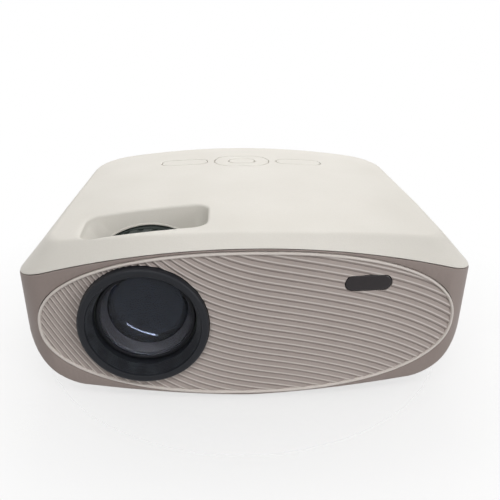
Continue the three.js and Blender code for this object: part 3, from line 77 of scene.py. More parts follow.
# %% Camera
mm = 0.001
photo_width = 500
focal_pixels = 560.6
camera_place = np.array([-13.22, -308.2, 189.2]) * mm
yaw, pitch, roll = (math.radians(a) for a in (3.22, 24.65, 0.59))
forward = np.array([math.sin(yaw) * math.cos(pitch), math.cos(yaw) * math.cos(pitch), -math.sin(pitch)])
level_right = np.array([math.cos(yaw), -math.sin(yaw), 0.0])
level_up = np.cross(level_right, forward)
right = level_right * math.cos(roll) + level_up * math.sin(roll)
up = -level_right * math.sin(roll) + level_up * math.cos(roll)

camera_data = bpy.data.cameras.new("camera")
camera_data.sensor_width = 36
camera_data.lens = camera_data.sensor_width * focal_pixels / photo_width
camera_data.clip_start, camera_data.clip_end = 0.01, 20
camera = bpy.data.objects.new("camera", camera_data)
bpy.context.scene.collection.objects.link(camera)
turn = np.eye(4)
turn[:3, 0], turn[:3, 1], turn[:3, 2] = right, up, -forward
turn[:3, 3] = camera_place
camera.matrix_world = Matrix(turn.tolist())
bpy.context.scene.camera = camera
bpy.context.scene.view_settings.view_transform = "Standard"
print("camera at", camera_place.round(4).tolist(), "with a lens of", round(camera_data.lens, 2), "mm")

# %% [markdown]
# ## Room
# The photo's background is pure white, but a room of that strength would wash the colours out. So the
# world has two strengths: white for the camera, for mirror rays and for rays through glass, and a soft
# low one that lights the object. A white box round the object could do the same, but it would get in
# the way of the lamps and of other views.

# %% Room
def add_node(tree, kind, settings=None, values=None):
    """A node with its settings and the plain values of its inputs."""
    node = tree.nodes.new(kind)
    for key, value in (settings or {}).items():
        setattr(node, key, value)
    for key, value in (values or {}).items():
        node.inputs[key].default_value = value
    return node


def join(tree, *pairs):
    """Links from outputs to inputs, given two by two."""
    for source, target in pairs:
        tree.links.new(source, target)


def combine(tree, operation, first, second):
    """Two numbers made one by a Math node."""
    node = add_node(tree, "ShaderNodeMath", {"operation": operation})
    join(tree, (first, node.inputs[0]), (second, node.inputs[1]))
    return node.outputs[0]


felt_strength = 0.37
world = bpy.data.worlds.new("pale room")
bpy.context.scene.world = world
world.use_nodes = True
room = world.node_tree
room.nodes.clear()
room_out = add_node(room, "ShaderNodeOutputWorld")
seen = add_node(room, "ShaderNodeBackground", values={"Color": (1, 1, 1, 1), "Strength": 1})
felt_light = {"Color": (1, 0.98, 0.965, 1), "Strength": felt_strength}
felt = add_node(room, "ShaderNodeBackground", values=felt_light)
ray = add_node(room, "ShaderNodeLightPath").outputs
pick = add_node(room, "ShaderNodeMixShader")
seen_rays = combine(room, "MAXIMUM", ray["Is Camera Ray"], ray["Is Glossy Ray"])
seen_rays = combine(room, "MAXIMUM", seen_rays, ray["Is Transmission Ray"])
join(room, (seen_rays, pick.inputs[0]), (felt.outputs[0], pick.inputs[1]), (seen.outputs[0], pick.inputs[2]))
join(room, (pick.outputs[0], room_out.inputs["Surface"]))
print("room:", world.name, "felt at", felt_strength)


# %% [markdown]
# ## Lamps
# A studio lights such a product with soft boxes. The overhead lamp stands behind, so the roof is the
# brightest face. The front lamp at the right shapes the bevels, and the high lamp fills the front. These
# three are kept from rays that pass through glass, where they would show as grain. The strip lamp is the
# opposite: it is long, tilted and seen only through glass, and it draws the bright arc on the inner lens.
# Glowing planes would light as well, but they would be part of the model.

# %% Lamps
case_middle = (0, 0, 0.05)
lens_place = (-0.05, -0.07, 0.045)


def add_lamp(name, place, aim, size, power, colour=(1, 1, 1), top=(0, 0.1, 1)):
    """A soft lamp at a place, aimed at another. Size is its width and height, top where it points up."""
    data = bpy.data.lights.new(name, "AREA")
    data.shape, data.energy, data.color = "RECTANGLE", power, colour
    data.size, data.size_y = size
    lamp = bpy.data.objects.new(name, data)
    bpy.context.scene.collection.objects.link(lamp)
    back = np.subtract(place, aim)
    back = back / np.linalg.norm(back)
    side = np.cross(top, back)
    side = side / np.linalg.norm(side)
    lamp_turn = np.eye(4)
    lamp_turn[:3, 0], lamp_turn[:3, 1], lamp_turn[:3, 2] = side, np.cross(back, side), back
    lamp_turn[:3, 3] = place
    lamp.matrix_world = Matrix(lamp_turn.tolist())
    return lamp


warm_white = (1, 0.985, 0.965)
above = add_lamp("overhead lamp", (0.05, 0.68, 0.75), case_middle, (0.7, 0.7), 4.7, warm_white)
aside = add_lamp("front lamp", (0.88, -0.76, 0.3), case_middle, (0.6, 0.5), 2.8)
high = add_lamp("high lamp", (-0.06, -0.7, 0.92), lens_place, (1.1, 0.16), 3.9)
above.visible_transmission = aside.visible_transmission = high.visible_transmission = False
tilted = (0.63, 0.59, 0.51)
strip = add_lamp("strip lamp", (0.06, -0.95, 0.84), lens_place, (1.9, 0.2), 60, top=tilted)
strip.visible_diffuse = strip.visible_glossy = False
print("lamps:", ", ".join(f"{lamp.name} {lamp.data.energy:.1f} W" for lamp in (above, aside, high, strip)))


# %% [markdown]
# ## Materials
# Moulded plastic is never quite even. Each finish is built from three shared effects: a fine grain with
# cloudy colour, worn edges and settled dust. They could be copied into every material, but as node
# groups they are built once, and each material gives them its own values. The colours are matched with
# the photo, in its own 0 to 255 values.

# %% Helpers for materials
def tone(r, g, b):
    """The photo's 0 to 255 values as a linear colour."""
    share = np.array([r, g, b]) / 255
    return (*np.where(share <= 0.04045, share / 12.92, ((share + 0.055) / 1.055) ** 2.4), 1)


def new_group(name, inputs, outputs):
    """An empty shader group with named inputs and outputs."""
    group = bpy.data.node_groups.new(name, "ShaderNodeTree")
    for label, kind in inputs:
        group.interface.new_socket(label, in_out="INPUT", socket_type=kind)
    for label, kind in outputs:
        group.interface.new_socket(label, in_out="OUTPUT", socket_type=kind)
    return group, group.nodes.new("NodeGroupInput"), group.nodes.new("NodeGroupOutput")


def remap(tree, source, low, high, to_low, to_high):
    """The source's low to high stretched to another range."""
    values = {"From Min": low, "From Max": high, "To Min": to_low, "To Max": to_high}
    node = add_node(tree, "ShaderNodeMapRange", {"clamp": True}, values)
    tree.links.new(source, node.inputs["Value"])
    return node.outputs["Result"]


def cloudy(tree, detail, scale=5):
    """A Noise texture in the object's own coordinates."""
    noise = add_node(tree, "ShaderNodeTexNoise", values={"Scale": scale, "Detail": detail})
    tree.links.new(add_node(tree, "ShaderNodeTexCoord").outputs["Object"], noise.inputs["Vector"])
    return noise


def blend_colour(tree, mask, first, second):
    """The first colour, and the second where the mask is. The second is plain numbers or a socket."""
    mixed = add_node(tree, "ShaderNodeMix", {"data_type": "RGBA"})
    join(tree, (mask, mixed.inputs["Factor"]), (first, mixed.inputs["A"]))
    if isinstance(second, tuple):
        mixed.inputs["B"].default_value = second
    else:
        tree.links.new(second, mixed.inputs["B"])
    return mixed.outputs["Result"]


# %% [markdown]
# ## Shared effects
# Grain is noise at two scales, slow clouds and fine pits. Wear lies along edges, where a Bevel node's
# rounded normal differs from the real one. Dust lies on faces that look upwards. Masks could be painted
# by hand instead, but these follow any shape by themselves.

# %% Grain
def make_grain_group():
    """Cloudy colour, uneven gloss and fine pits, all from noise in the object's own coordinates."""
    colour, number = "NodeSocketColor", "NodeSocketFloat"
    group, entry, leave = new_group(
        "Grain of a moulding",
        [("Colour", colour), ("Darker", colour), ("Gloss", number), ("Pits per metre", number)],
        [("Colour", colour), ("Roughness", number), ("Height", number)],
    )
    given = entry.outputs
    cloud = cloudy(group, 3, scale=22).outputs["Fac"]
    pits = cloudy(group, 2)
    group.links.new(given["Pits per metre"], pits.inputs["Scale"])
    clouds = remap(group, cloud, 0.3, 0.7, 0, 0.55)
    specks = remap(group, pits.outputs["Fac"], 0.35, 0.75, 0, 0.5)
    clouded = blend_colour(group, clouds, given["Colour"], given["Darker"])
    specked = blend_colour(group, specks, clouded, given["Darker"])
    uneven = combine(group, "ADD", given["Gloss"], remap(group, cloud, 0.3, 0.7, -0.05, 0.06))
    join(group, (specked, leave.inputs["Colour"]), (uneven, leave.inputs["Roughness"]))
    join(group, (pits.outputs["Fac"], leave.inputs["Height"]))
    return group


# %% Worn edges and dust
def make_wear_group():
    """A mask along the edges, broken up by noise."""
    group, _, leave = new_group("Worn edges", [], [("Mask", "NodeSocketFloat")])
    soft = add_node(group, "ShaderNodeBevel", {"samples": 4}, {"Radius": 0.0007})
    face = add_node(group, "ShaderNodeNewGeometry")
    agree = add_node(group, "ShaderNodeVectorMath", {"operation": "DOT_PRODUCT"})
    join(group, (soft.outputs["Normal"], agree.inputs[0]), (face.outputs["Normal"], agree.inputs[1]))
    edge = remap(group, agree.outputs["Value"], 0.99, 0.85, 0, 1)
    patch = remap(group, cloudy(group, 3, scale=160).outputs["Fac"], 0.4, 0.62, 0, 0.7)
    group.links.new(combine(group, "MULTIPLY", edge, patch), leave.inputs["Mask"])
    return group


def make_dust_group():
    """A thin mask on faces that look upwards, in soft patches."""
    group, _, leave = new_group("Settled dust", [], [("Mask", "NodeSocketFloat")])
    face = add_node(group, "ShaderNodeNewGeometry")
    parts = add_node(group, "ShaderNodeSeparateXYZ")
    group.links.new(face.outputs["Normal"], parts.inputs[0])
    upward = remap(group, parts.outputs["Z"], 0.2, 1, 0, 1)
    patch = remap(group, cloudy(group, 4, scale=60).outputs["Fac"], 0.35, 0.8, 0, 0.3)
    group.links.new(combine(group, "MULTIPLY", upward, patch), leave.inputs["Mask"])
    return group


grain, wear, dust = make_grain_group(), make_wear_group(), make_dust_group()
print("shared effects:", grain.name, "|", wear.name, "|", dust.name)


# %% [markdown]
# ## Finishes
# Each material slot of the CAD part gets its finish: colour, a darker second colour, gloss, and how many
# pits there are and how deep they go. One function makes them all, so they stay comparable. Metal and
# the window's coat are set on the shader's own sockets after that.

# %% Finishes
def add_group(tree, group, values=None):
    """A shared effect put into a material."""
    return add_node(tree, "ShaderNodeGroup", {"node_tree": group}, values)


low_shine, bump_strength = 0.22, 0.35


def make_finish(name, colour, darker, gloss, pits=1400, pit_depth=0.00002, worn=None, dusty=None):
    """A Principled surface with grain, worn edges and dust. Its low shine keeps the white room down."""
    material = bpy.data.materials.new(name)
    material.use_nodes = True
    tree = material.node_tree
    shader = tree.nodes["Principled BSDF"]
    values = {"Colour": tone(*colour), "Darker": tone(*darker), "Gloss": gloss, "Pits per metre": pits}
    base = add_group(tree, grain, values)
    surface = base.outputs["Colour"]
    if worn:
        surface = blend_colour(tree, add_group(tree, wear).outputs["Mask"], surface, tone(*worn))
    if dusty:
        surface = blend_colour(tree, add_group(tree, dust).outputs["Mask"], surface, tone(*dusty))
    bump = add_node(tree, "ShaderNodeBump", values={"Strength": bump_strength, "Distance": pit_depth})
    join(tree, (base.outputs["Height"], bump.inputs["Height"]), (surface, shader.inputs["Base Color"]))
    join(tree, (base.outputs["Roughness"], shader.inputs["Roughness"]))
    join(tree, (bump.outputs["Normal"], shader.inputs["Normal"]))
    shader.inputs["Specular IOR Level"].default_value = low_shine
    return material


def shader_of(material):
    """The material's Principled shader."""
    return material.node_tree.nodes["Principled BSDF"]


# %% A finish for each slot
fine_pits, finest_pits, coarse_pits = 0.000005, 0.000004, 0.0004
finishes = {
    "cover": make_finish("Pale moulded cover", (231, 228, 221), (222, 219, 211), 0.5, worn=(240, 238, 233)),
    "housing": make_finish("Warm grey tub", (159, 147, 142), (149, 137, 132), 0.52, worn=(182, 172, 167)),
    "panel": make_finish("Warm grey ribs", (178, 166, 161), (166, 154, 149), 0.5, worn=(204, 196, 191)),
    "black": make_finish("Black lens ring", (36, 38, 43), (29, 31, 36), 0.4, worn=(64, 68, 74)),
    "dark_grip": make_finish("Dark ring grip", (72, 78, 76), (58, 64, 62), 0.55, worn=(98, 104, 101)),
    "inner_black": make_finish("Matt black inside", (25, 26, 31), (18, 19, 23), 0.6),
    "window": make_finish("Dark red-brown window", (40, 33, 35), (30, 25, 28), 0.14, 500, finest_pits),
    "keys": make_finish("Pale keys", (231, 228, 221), (223, 220, 212), 0.5, worn=(240, 238, 233)),
    "rubber": make_finish("Rubber foot", (40, 40, 41), (28, 28, 29), 0.85, 3000, dusty=(86, 84, 82)),
    "board": make_finish("Green board", (32, 90, 56), (24, 72, 44), 0.45, worn=(120, 132, 96)),
    "steel": make_finish("Plated steel", (190, 191, 193), (164, 165, 168), 0.3, 5000, fine_pits),
    "aluminium": make_finish(
        "Bare aluminium", (196, 198, 200), (170, 172, 175), 0.38, 4000, dusty=(150, 148, 146)
    ),
    "brass": make_finish("Turned brass", (188, 152, 88), (160, 124, 66), 0.32, 4000, fine_pits),
    "foam": make_finish("Filter foam", (60, 60, 62), (36, 36, 38), 0.95, 2500, coarse_pits),
}
for metal in ("steel", "aluminium", "brass"):
    shader_of(finishes[metal]).inputs["Metallic"].default_value = 1
shader_of(finishes["window"]).inputs["Coat Weight"].default_value = 0.25
print("finishes:", ", ".join(finishes))


# %% [markdown]
# ## Finishes for single pieces
# The panel's ribs get a painted highlight on their crests and painted shade in their grooves. Its rim is
# painted paler than the ribs, a painted highlight where its top catches the light. The inner lens is nearly
# a mirror: the grain adds up to 0.06 to its roughness, so its own value lies just under zero. It is opaque
# and near black, painted shade that stands for the dark inside of the barrel behind clear glass. The lens
# glass could have the strength of real glass, but then it would mirror the white room. It bends light less
# here, which stands for the coating that takes most of the reflections away.

# %% Finishes for single pieces
def paint_rib_highlight_and_shade(material, crest, groove):
    """A painted highlight on the crests and painted shade in the grooves, from the piece's own groove
    attribute: 0 on a crest, 1 in a groove.
    """
    tree, shader = material.node_tree, shader_of(material)
    plain = shader.inputs["Base Color"].links[0].from_socket
    depth = add_node(tree, "ShaderNodeAttribute", {"attribute_name": "groove"}).outputs["Fac"]
    lit = blend_colour(tree, remap(tree, depth, 0.0, 0.13, 0.9, 0), plain, tone(*crest))
    crest_lit_groove_shaded = blend_colour(tree, remap(tree, depth, 0.75, 1, 0, 0.75), lit, tone(*groove))
    tree.links.new(crest_lit_groove_shaded, shader.inputs["Base Color"])


mirror_gloss = -0.02
deep_pits = 0.0000002
# The inner lens is opaque and near black: painted shade for the dark inside of the barrel behind clear glass.
# The arc on it is a real reflection of the strip lamp.
finishes["deep_glass"] = make_finish("Inner lens painted dark as shade", (9, 10, 15), (6, 7, 10), mirror_gloss, 200, deep_pits)
shader_of(finishes["deep_glass"]).inputs["Specular IOR Level"].default_value = 0.4
# The ribs' crests get a painted highlight and their grooves painted shade, from the groove attribute.
finishes["ribs"] = make_finish("Ribs with painted crest highlights and groove shade", (178, 167, 162), (169, 158, 153), 0.5, worn=(207, 199, 194))
paint_rib_highlight_and_shade(finishes["ribs"], (226, 219, 214), (120, 109, 105))
# The rim is painted paler than the ribs: a painted highlight where its top catches the light.
finishes["rim"] = make_finish("Panel rim with a painted highlight", (226, 219, 213), (217, 209, 203), 0.4, worn=(236, 231, 226))
finishes["barrel_wall"] = make_finish("Satin barrel wall", (56, 52, 48), (48, 44, 41), 0.4)


def make_glass(name, colour, gloss, bends):
    """Clear glass with faint cleaning marks in its gloss. Bends is how much it turns the light."""
    material = bpy.data.materials.new(name)
    material.use_nodes = True
    tree = material.node_tree
    shader = tree.nodes["Principled BSDF"]
    values = {"Colour": tone(*colour), "Darker": tone(*colour), "Gloss": gloss, "Pits per metre": 90}
    smear = add_group(tree, grain, values)
    marks = remap(tree, smear.outputs["Roughness"], gloss - 0.05, gloss + 0.08, 0, 0.004)
    join(tree, (smear.outputs["Colour"], shader.inputs["Base Color"]), (marks, shader.inputs["Roughness"]))
    shader.inputs["Transmission Weight"].default_value = 1
    shader.inputs["IOR"].default_value = bends
    return material


finishes["glass"] = make_glass("Coated lens glass", (190, 198, 212), 0.06, 1.22)
for name, node in frame["nodes"].items():
    node.data.materials.clear()
    node.data.materials.append(finishes[slot_of[name]])
print("finishes:", len(finishes), "on", len(frame["nodes"]), "CAD nodes")

# %% [markdown]
# ## Outer surfaces of the case
# The roof is a shallow arch from side to side that dips a little towards the front. The seam between
# cover and tub is an arch too. Front and back are gently bowed. These forms could be drawn as curves
# and fitted by hand. Here they are the CAD part's own formulas, in millimetres, so every finer piece
# lies on the same surfaces.

# %% Surfaces
half = 110.0
body_front, body_rear = -80.25, 82.75
front_bow, rear_bow = 5.3, 13
seam_top, seam_drop = 84.8, 17
roof_top, crown_drop, nose_drop = 91, 8.4, 2
nose_start, nose_run = -18.9, 51.55
belly_low, belly_high, belly_flat = 3, 45, 80
wall = 2.2
lens_x, lens_z = -50.3, 45.5


def front_at(x):
    """The bowed front: 5.3 mm further back at the sides."""
    return body_front + front_bow * (x / half) ** 2


def rear_at(x):
    """The bowed back: 13 mm further forward at the sides."""
    return body_rear - rear_bow * (x / half) ** 2


def seam_at(x):
    """The arched seam: 84.8 mm high in the middle, 17 mm lower at the sides."""
    return seam_top - seam_drop * (x / half) ** 2


def roof_at(x, y):
    """The crown drops 8.4 mm towards the sides, and the nose 2 mm from y = -18.9 forwards."""
    before = nose_start - y
    eased = (before + np.sqrt(before**2 + 9)) / 2
    return roof_top - crown_drop * (x / half) ** 2 - nose_drop * np.minimum(eased / nose_run, 1)


def belly_at(x):
    """Nearly flat to 80 mm from the middle, then a quarter of a superellipse up to 45 mm."""
    reach = np.abs(x)
    bent = np.clip((reach - belly_flat) / (half - belly_flat), 0, 1)
    flat = belly_low + 6.5 * np.minimum(reach / belly_flat, 1) ** 1.5
    curl = belly_high - 35.5 * (1 - bent**1.8) ** (1 / 1.8)
    return np.where(reach <= belly_flat, flat, curl)


# %% [markdown]
# ## Levels of the case
# Cover and tub are built in levels, like the layers of a cake. Each level is a grid of points over the
# case's outline with its round corners, drawn in by the wall or by the bevel. Its columns crowd where the
# belly curls up, so the curl is smooth and the flat part stays light. An even grid would need many more
# faces for the same curl.

# %% Levels of the case
bend = belly_flat + (half - belly_flat) * np.sin(np.linspace(0, math.pi / 2, 19)[1:])
across = np.concatenate([-bend[::-1], np.linspace(-belly_flat, belly_flat, 97), bend]) / half
along = np.linspace(0, 1, 97)
front_corner, rear_corner = 15.4, 22.0
rear_narrower = 3.5


def corner_rise(x, reach, radius):
    """How far a round corner has drawn back at x, on a width of plus or minus reach."""
    past = np.clip((np.abs(x) - (reach - radius)) / radius, 0, 1)
    return radius * (1 - np.sqrt(1 - past**2))


def layer(height, side=0.0, front=0.0, rear=0.0, flare=0.0, corner=front_corner, tail=rear_corner):
    """One level of the case as a grid of points, drawn in from the full outline by the insets.

    The height is worked out from each point's x and y, and from the x that it has on the full outline.
    """
    reach = half - side
    x_front = reach * across
    x_rear = x_front * (1 - rear_narrower / half)
    drawn_back = corner_rise(x_front, reach, corner)
    y_front = front_at(x_front) + front + flare * (x_front / half) ** 2 + drawn_back
    y_rear = rear_at(x_rear) - rear - corner_rise(x_front, reach, tail)
    x = x_front + np.outer(along, x_rear - x_front)
    y = y_front + np.outer(along, y_rear - y_front)
    return np.stack([x, y, height(x, y, half * across + 0 * x)], axis=-1)


def even(inset):
    """The same inset all round."""
    corners = {"corner": front_corner - inset, "tail": rear_corner - inset}
    return {"side": inset, "front": inset, "rear": inset, **corners}


print("surfaces: roof", float(roof_at(0, 0)), "mm high in the middle, seam", seam_at(half), "mm at the sides")


# %% [markdown]
# ## Tools for the finer pieces
# A piece is gathered from grids of points. Points that fall together are joined, so the piece is
# closed, and its faces are turned outwards. Openings are cut with tools made the same way. They could
# be woven into the grids, but a cut is simpler and leaves the same clean edge.

# %% Grids made into a piece
def grid_faces(rows, columns, start=0):
    """Square faces over a grid of rows by columns of points, numbered from start."""
    corner = start + (np.arange(rows - 1)[:, None] * columns + np.arange(columns - 1)).ravel()
    return np.stack([corner, corner + 1, corner + columns + 1, corner + columns], axis=1)


def join_grids(grids):
    """Points and faces of several grids, with the points that fall together made one."""
    points, faces, start = [], [], 0
    for grid in grids:
        rows, columns = grid.shape[:2]
        points.append(grid.reshape(-1, 3))
        faces.append(grid_faces(rows, columns, start))
        start += rows * columns
    points, faces = np.concatenate(points), np.concatenate(faces)
    _, first, place = np.unique(np.round(points, 4), axis=0, return_index=True, return_inverse=True)
    faces = place.ravel()[faces]
    same = faces == np.roll(faces, -1, axis=1)
    whole = faces[same.sum(axis=1) == 0].tolist()
    thin = [list(dict.fromkeys(f)) for f in faces[same.sum(axis=1) == 1].tolist()]
    return points[first], whole + thin


def make_piece(name, grids, material, crease=32, caps=()):
    """A closed, outward-facing object in the row frame. Caps are rings of points closed by one face."""
    points, faces = join_grids(grids)
    if caps:
        keys = {tuple(p): n for n, p in enumerate(np.round(points, 4).tolist())}
        for ring in caps:
            faces.append(list(dict.fromkeys(keys[tuple(p)] for p in np.round(ring, 4).tolist())))
    mesh = bpy.data.meshes.new(name)
    mesh.from_pydata((points * mm).tolist(), [], faces)
    mesh.validate()
    face_outwards(mesh)
    if material:
        mesh.materials.append(material)
    piece = bpy.data.objects.new(name, mesh)
    bpy.context.scene.collection.objects.link(piece)
    smooth(piece, crease)
    return piece


def face_outwards(mesh):
    """Turns all faces of a closed mesh outwards."""
    work = bmesh.new()
    work.from_mesh(mesh)
    bmesh.ops.recalc_face_normals(work, faces=work.faces)
    work.to_mesh(mesh)
    work.free()


def smooth(piece, crease):
    """Smooth shading, with a hard edge where two faces meet at more than the crease angle."""
    piece.data.shade_smooth()
    piece.data.set_sharp_from_angle(angle=math.radians(crease))


# %% Cuts
def carve(piece, tools, crease=32, how="DIFFERENCE"):
    """Takes the tools away from the piece, adds them to it, or keeps only what both share."""
    for tool in tools:
        step = piece.modifiers.new("cut", "BOOLEAN")
        step.operation, step.solver, step.object = how, "MANIFOLD", tool
        seen_now = bpy.context.evaluated_depsgraph_get()
        result = bpy.data.meshes.new_from_object(piece.evaluated_get(seen_now))
        piece.modifiers.clear()
        old, piece.data = piece.data, result
        bpy.data.meshes.remove(old)
        gone = tool.data
        bpy.data.objects.remove(tool)
        bpy.data.meshes.remove(gone)
    smooth(piece, crease)
    piece.data.name = piece.name
    return piece


# %% [markdown]
# ## Rings and layers
# Most pieces are rings of points in a row: round ones for the lens, ovals for the rim, pills for the keys
# and the outline of the case for its shells. A loft between curves would make the same skins, but with
# rings of equally many points each face's place is known. A finished piece gets its finish when it is
# made, settles on its body and stands for its CAD nodes.

# %% Rings and layers
def tube_grid(loops):
    """A closed band through several rings of equally many points: (rings, points, 3)."""
    loops = np.asarray(loops)
    return np.concatenate([loops, loops[:, :1]], axis=1)


def ring_piece(name, loops, material, crease=32, hole=False):
    """A body through rings of points. With a hole, the last ring joins the first."""
    if hole:
        return make_piece(name, [tube_grid(np.concatenate([loops, loops[:1]]))], material, crease)
    return make_piece(name, [tube_grid(loops)], material, crease, caps=(loops[0], loops[-1]))


def cutter(*bodies):
    """One tool of several bodies that don't touch, each given as its rings of points."""
    caps = [ring for loops in bodies for ring in (loops[0], loops[-1])]
    return make_piece("cutter", [tube_grid(loops) for loops in bodies], None, caps=caps)


def border(grid):
    """The outer ring of a grid of points."""
    return np.concatenate([grid[0, :-1], grid[:-1, -1], grid[-1, :0:-1], grid[:0:-1, 0]])


def case_piece(name, layers, material):
    """A closed body through layers of the case. The first and the last are closed by their grids."""
    side = tube_grid([border(grid) for grid in layers])
    return make_piece(name, [side, layers[0], layers[-1]], material)


def settle(piece, *nodes, body="case"):
    """The piece rides on a body and stands for these CAD nodes."""
    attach(piece, body)
    if nodes:
        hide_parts(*nodes)
    return piece


# %% [markdown]
# ## Top cover
# The real cover is one injection moulding about two millimetres thick. A box with a Bevel modifier could
# come close, but the real bevel is wider at the sides than in front, and its edges arch. So the outside is
# lofted from the seam up over the bevel, round the soft crease and onto the crowned roof, and its inside
# runs back down.

# %% Cover skin
side_in, front_in, rear_in, flare_in = 14.1, 9.8, 6.2, 2.1
crease_corner, crease_tail = 10.5, 18
corner_loss, tail_loss = 4.9, 4
seam_gap = 0.2


def seam_level(up, **insets):
    """A level that follows the arched seam, higher than it by up."""
    return layer(lambda x, y, full: seam_at(full) + up, **insets)


def bevel(share):
    """A level on the bevel, a share of the way from the seam up to the crease round the roof."""
    inset = {"side": side_in * share, "front": front_in * share, "rear": rear_in * share}
    corners = {"corner": front_corner - corner_loss * share, "tail": rear_corner - tail_loss * share}
    low = lambda full: seam_at(full) + seam_gap
    high = lambda full, y: roof_at(full * (half - side_in) / half, y)
    rise = lambda x, y, full: low(full) + (high(full, y) - low(full)) * share
    return layer(rise, **inset, flare=flare_in * share, **corners)


def roof_layer(more, drop=0.0):
    """A level on the roof, inside the crease by more and lower by drop."""
    inset = {"side": side_in + more, "front": front_in + more, "rear": rear_in + more, "flare": flare_in}
    return layer(lambda x, y, full: roof_at(x, y) - drop, **inset, corner=crease_corner, tail=crease_tail)


def round_over(first, corner, last, steps):
    """Levels along a curve that leaves the first towards the corner and arrives at the last."""
    shares = np.linspace(0, 1, steps)
    return [(1 - t) ** 2 * first + 2 * t * (1 - t) * corner + t**2 * last for t in shares]


lip_end, crease_start = 0.05, 0.84
lip = round_over(seam_level(seam_gap, **even(0.45)), bevel(0), bevel(lip_end), 4)
slope = [bevel(share) for share in np.linspace(lip_end, crease_start, 7)[1:-1]]
crease_round = round_over(bevel(crease_start), bevel(1), roof_layer(1.7), 7)
outer_cover = lip + slope + crease_round
inner_cover = [roof_layer(1.5, wall), seam_level(seam_gap, **even(wall))]
cover = case_piece("top_cover_shell", inner_cover + outer_cover, finishes["cover"])
print("cover skin:", len(cover.data.polygons), "faces")


# %% [markdown]
# ## Finger pocket
# A finger reaches the adjusting rings through a pocket that is moulded in one with the roof. Its walls
# lean in towards a flat floor, and its mouth is rounded. A dent pushed into the roof would leave no
# wall under it. So a solid tray is joined to the shell first, kept inside the cover's own skin, and its
# hollow is cut after that, with a tool that flares at the mouth and leaves the rounded lip.

# %% Pocket
pocket_floor, pocket_depth = 68, 23
pocket_left, pocket_right = 35.2, 31.1
pocket_front, pocket_back = -65.1, -36.9
left_lean, right_lean, front_lean, back_lean = 18, 4, 2.5, 5
pocket_skew = 0.087


def pocket_ring(z, inset=0.0, share=None):
    """The pocket's outline at a height: a rectangle with round corners, set a little askew.

    Its sides lean in by a share of the depth. The inset makes it smaller all round.
    """
    share = (roof_top - z) / pocket_depth if share is None else share
    x0 = lens_x - pocket_left + left_lean * share + inset
    x1 = lens_x + pocket_right - right_lean * share - inset
    y0, y1 = pocket_front + front_lean * share + inset, pocket_back - back_lean * share - inset
    left, last = 6.5 - inset, 7 - 0.5 * share - inset
    corners = [(x0, y0, left, 180), (x1, y0, last, 270), (x1, y1, last, 0), (x0, y1, left, 90)]
    rings = []
    for (cx, cy, radius, start), (sx, sy) in zip(corners, ((1, 1), (-1, 1), (-1, -1), (1, -1))):
        turn_by = np.radians(start + np.linspace(0, 90, 15))
        x, y = cx + radius * (sx + np.cos(turn_by)), cy + radius * (sy + np.sin(turn_by))
        rings.append(np.stack([x, y], axis=1))
    parts = []
    for corner, following in zip(rings, rings[1:] + rings[:1]):
        parts += [corner, np.linspace(corner[-1], following[0], 14)[:-1]]
    x, y = np.concatenate(parts).T
    return np.stack([x, y + pocket_skew * (x - lens_x), np.full_like(x, z)], axis=1)


# %% Hollow of the pocket
def pocket_loops(lip_round=1.3):
    """From the floor up the walls, then outwards over the rounded lip and straight up."""
    floor_round, mouth_share = 3.0, 0.13
    loops = []
    for turn_up in np.linspace(0, math.pi / 2, 6):
        inset = floor_round * (1 - math.sin(turn_up))
        loops.append(pocket_ring(pocket_floor + floor_round * (1 - math.cos(turn_up)), inset, share=1))
    mouth = pocket_ring(roof_top, 0, mouth_share)
    roof = roof_at(mouth[:, 0], mouth[:, 1])
    wall_start = pocket_floor + 3
    for rise in np.linspace(0.15, 1, 8):
        z = wall_start + (roof - lip_round - wall_start) * rise
        shares = (roof_top - z) / pocket_depth
        loops.append(np.array([pocket_ring(0, 0, s)[k] for k, s in enumerate(shares)]))
        loops[-1][:, 2] = z
    top = loops[-1]
    outward = pocket_ring(0, -1, mouth_share)[:, :2] - pocket_ring(0, 0, mouth_share)[:, :2]
    for turn_out in np.radians([20, 40, 60, 80]):
        ring = top.copy()
        ring[:, :2] += outward * lip_round * (1 - math.cos(turn_out))
        ring[:, 2] += lip_round * math.sin(turn_out)
        loops.append(ring)
    last = loops[-1].copy()
    last[:, :2] += outward * 1.5
    last[:, 2] += 0.3
    above = last.copy()
    above[:, 2] = 99
    return np.array(loops + [last, above])


# %% Pocket in the cover
tray_wall, tray_top = 1.8, 97
tray_rings = [pocket_ring(pocket_floor - tray_wall, -tray_wall, 1), pocket_ring(tray_top, -tray_wall)]
tray = cutter(np.array(tray_rings))
room_floor = 40
level_floor = layer(lambda x, y, full: room_floor + 0 * x, **even(4))
under_skin = case_piece("room", [level_floor, seam_level(seam_gap, **even(1.3)), roof_layer(1.7, 0.9)], None)
carve(tray, [under_skin], how="INTERSECT")
carve(cover, [tray], how="UNION")
carve(cover, [cutter(pocket_loops())])
print("cover with pocket:", len(cover.data.polygons), "faces")


# %% [markdown]
# ## Slot and key openings
# The rings come up through a slot that is round about the lens axis, and the keys sit in wells with a
# small rounded lip. The lens needs room as well: it slides, so the pocket's front wall gets a round
# hollow for the front of the barrel. The openings could be cut one by one. Bodies that don't touch are
# cut in one go instead, which is quicker and gives the same faces.

# %% Slot and key openings
def circle_y(radius, y, count=160):
    """A ring of points about the lens axis. The radius is one number, or one for each point."""
    angle = np.linspace(0, 2 * math.pi, count, endpoint=False)
    x, z = lens_x + radius * np.cos(angle), lens_z + radius * np.sin(angle)
    return np.stack([x, np.full(count, y), z], axis=1)


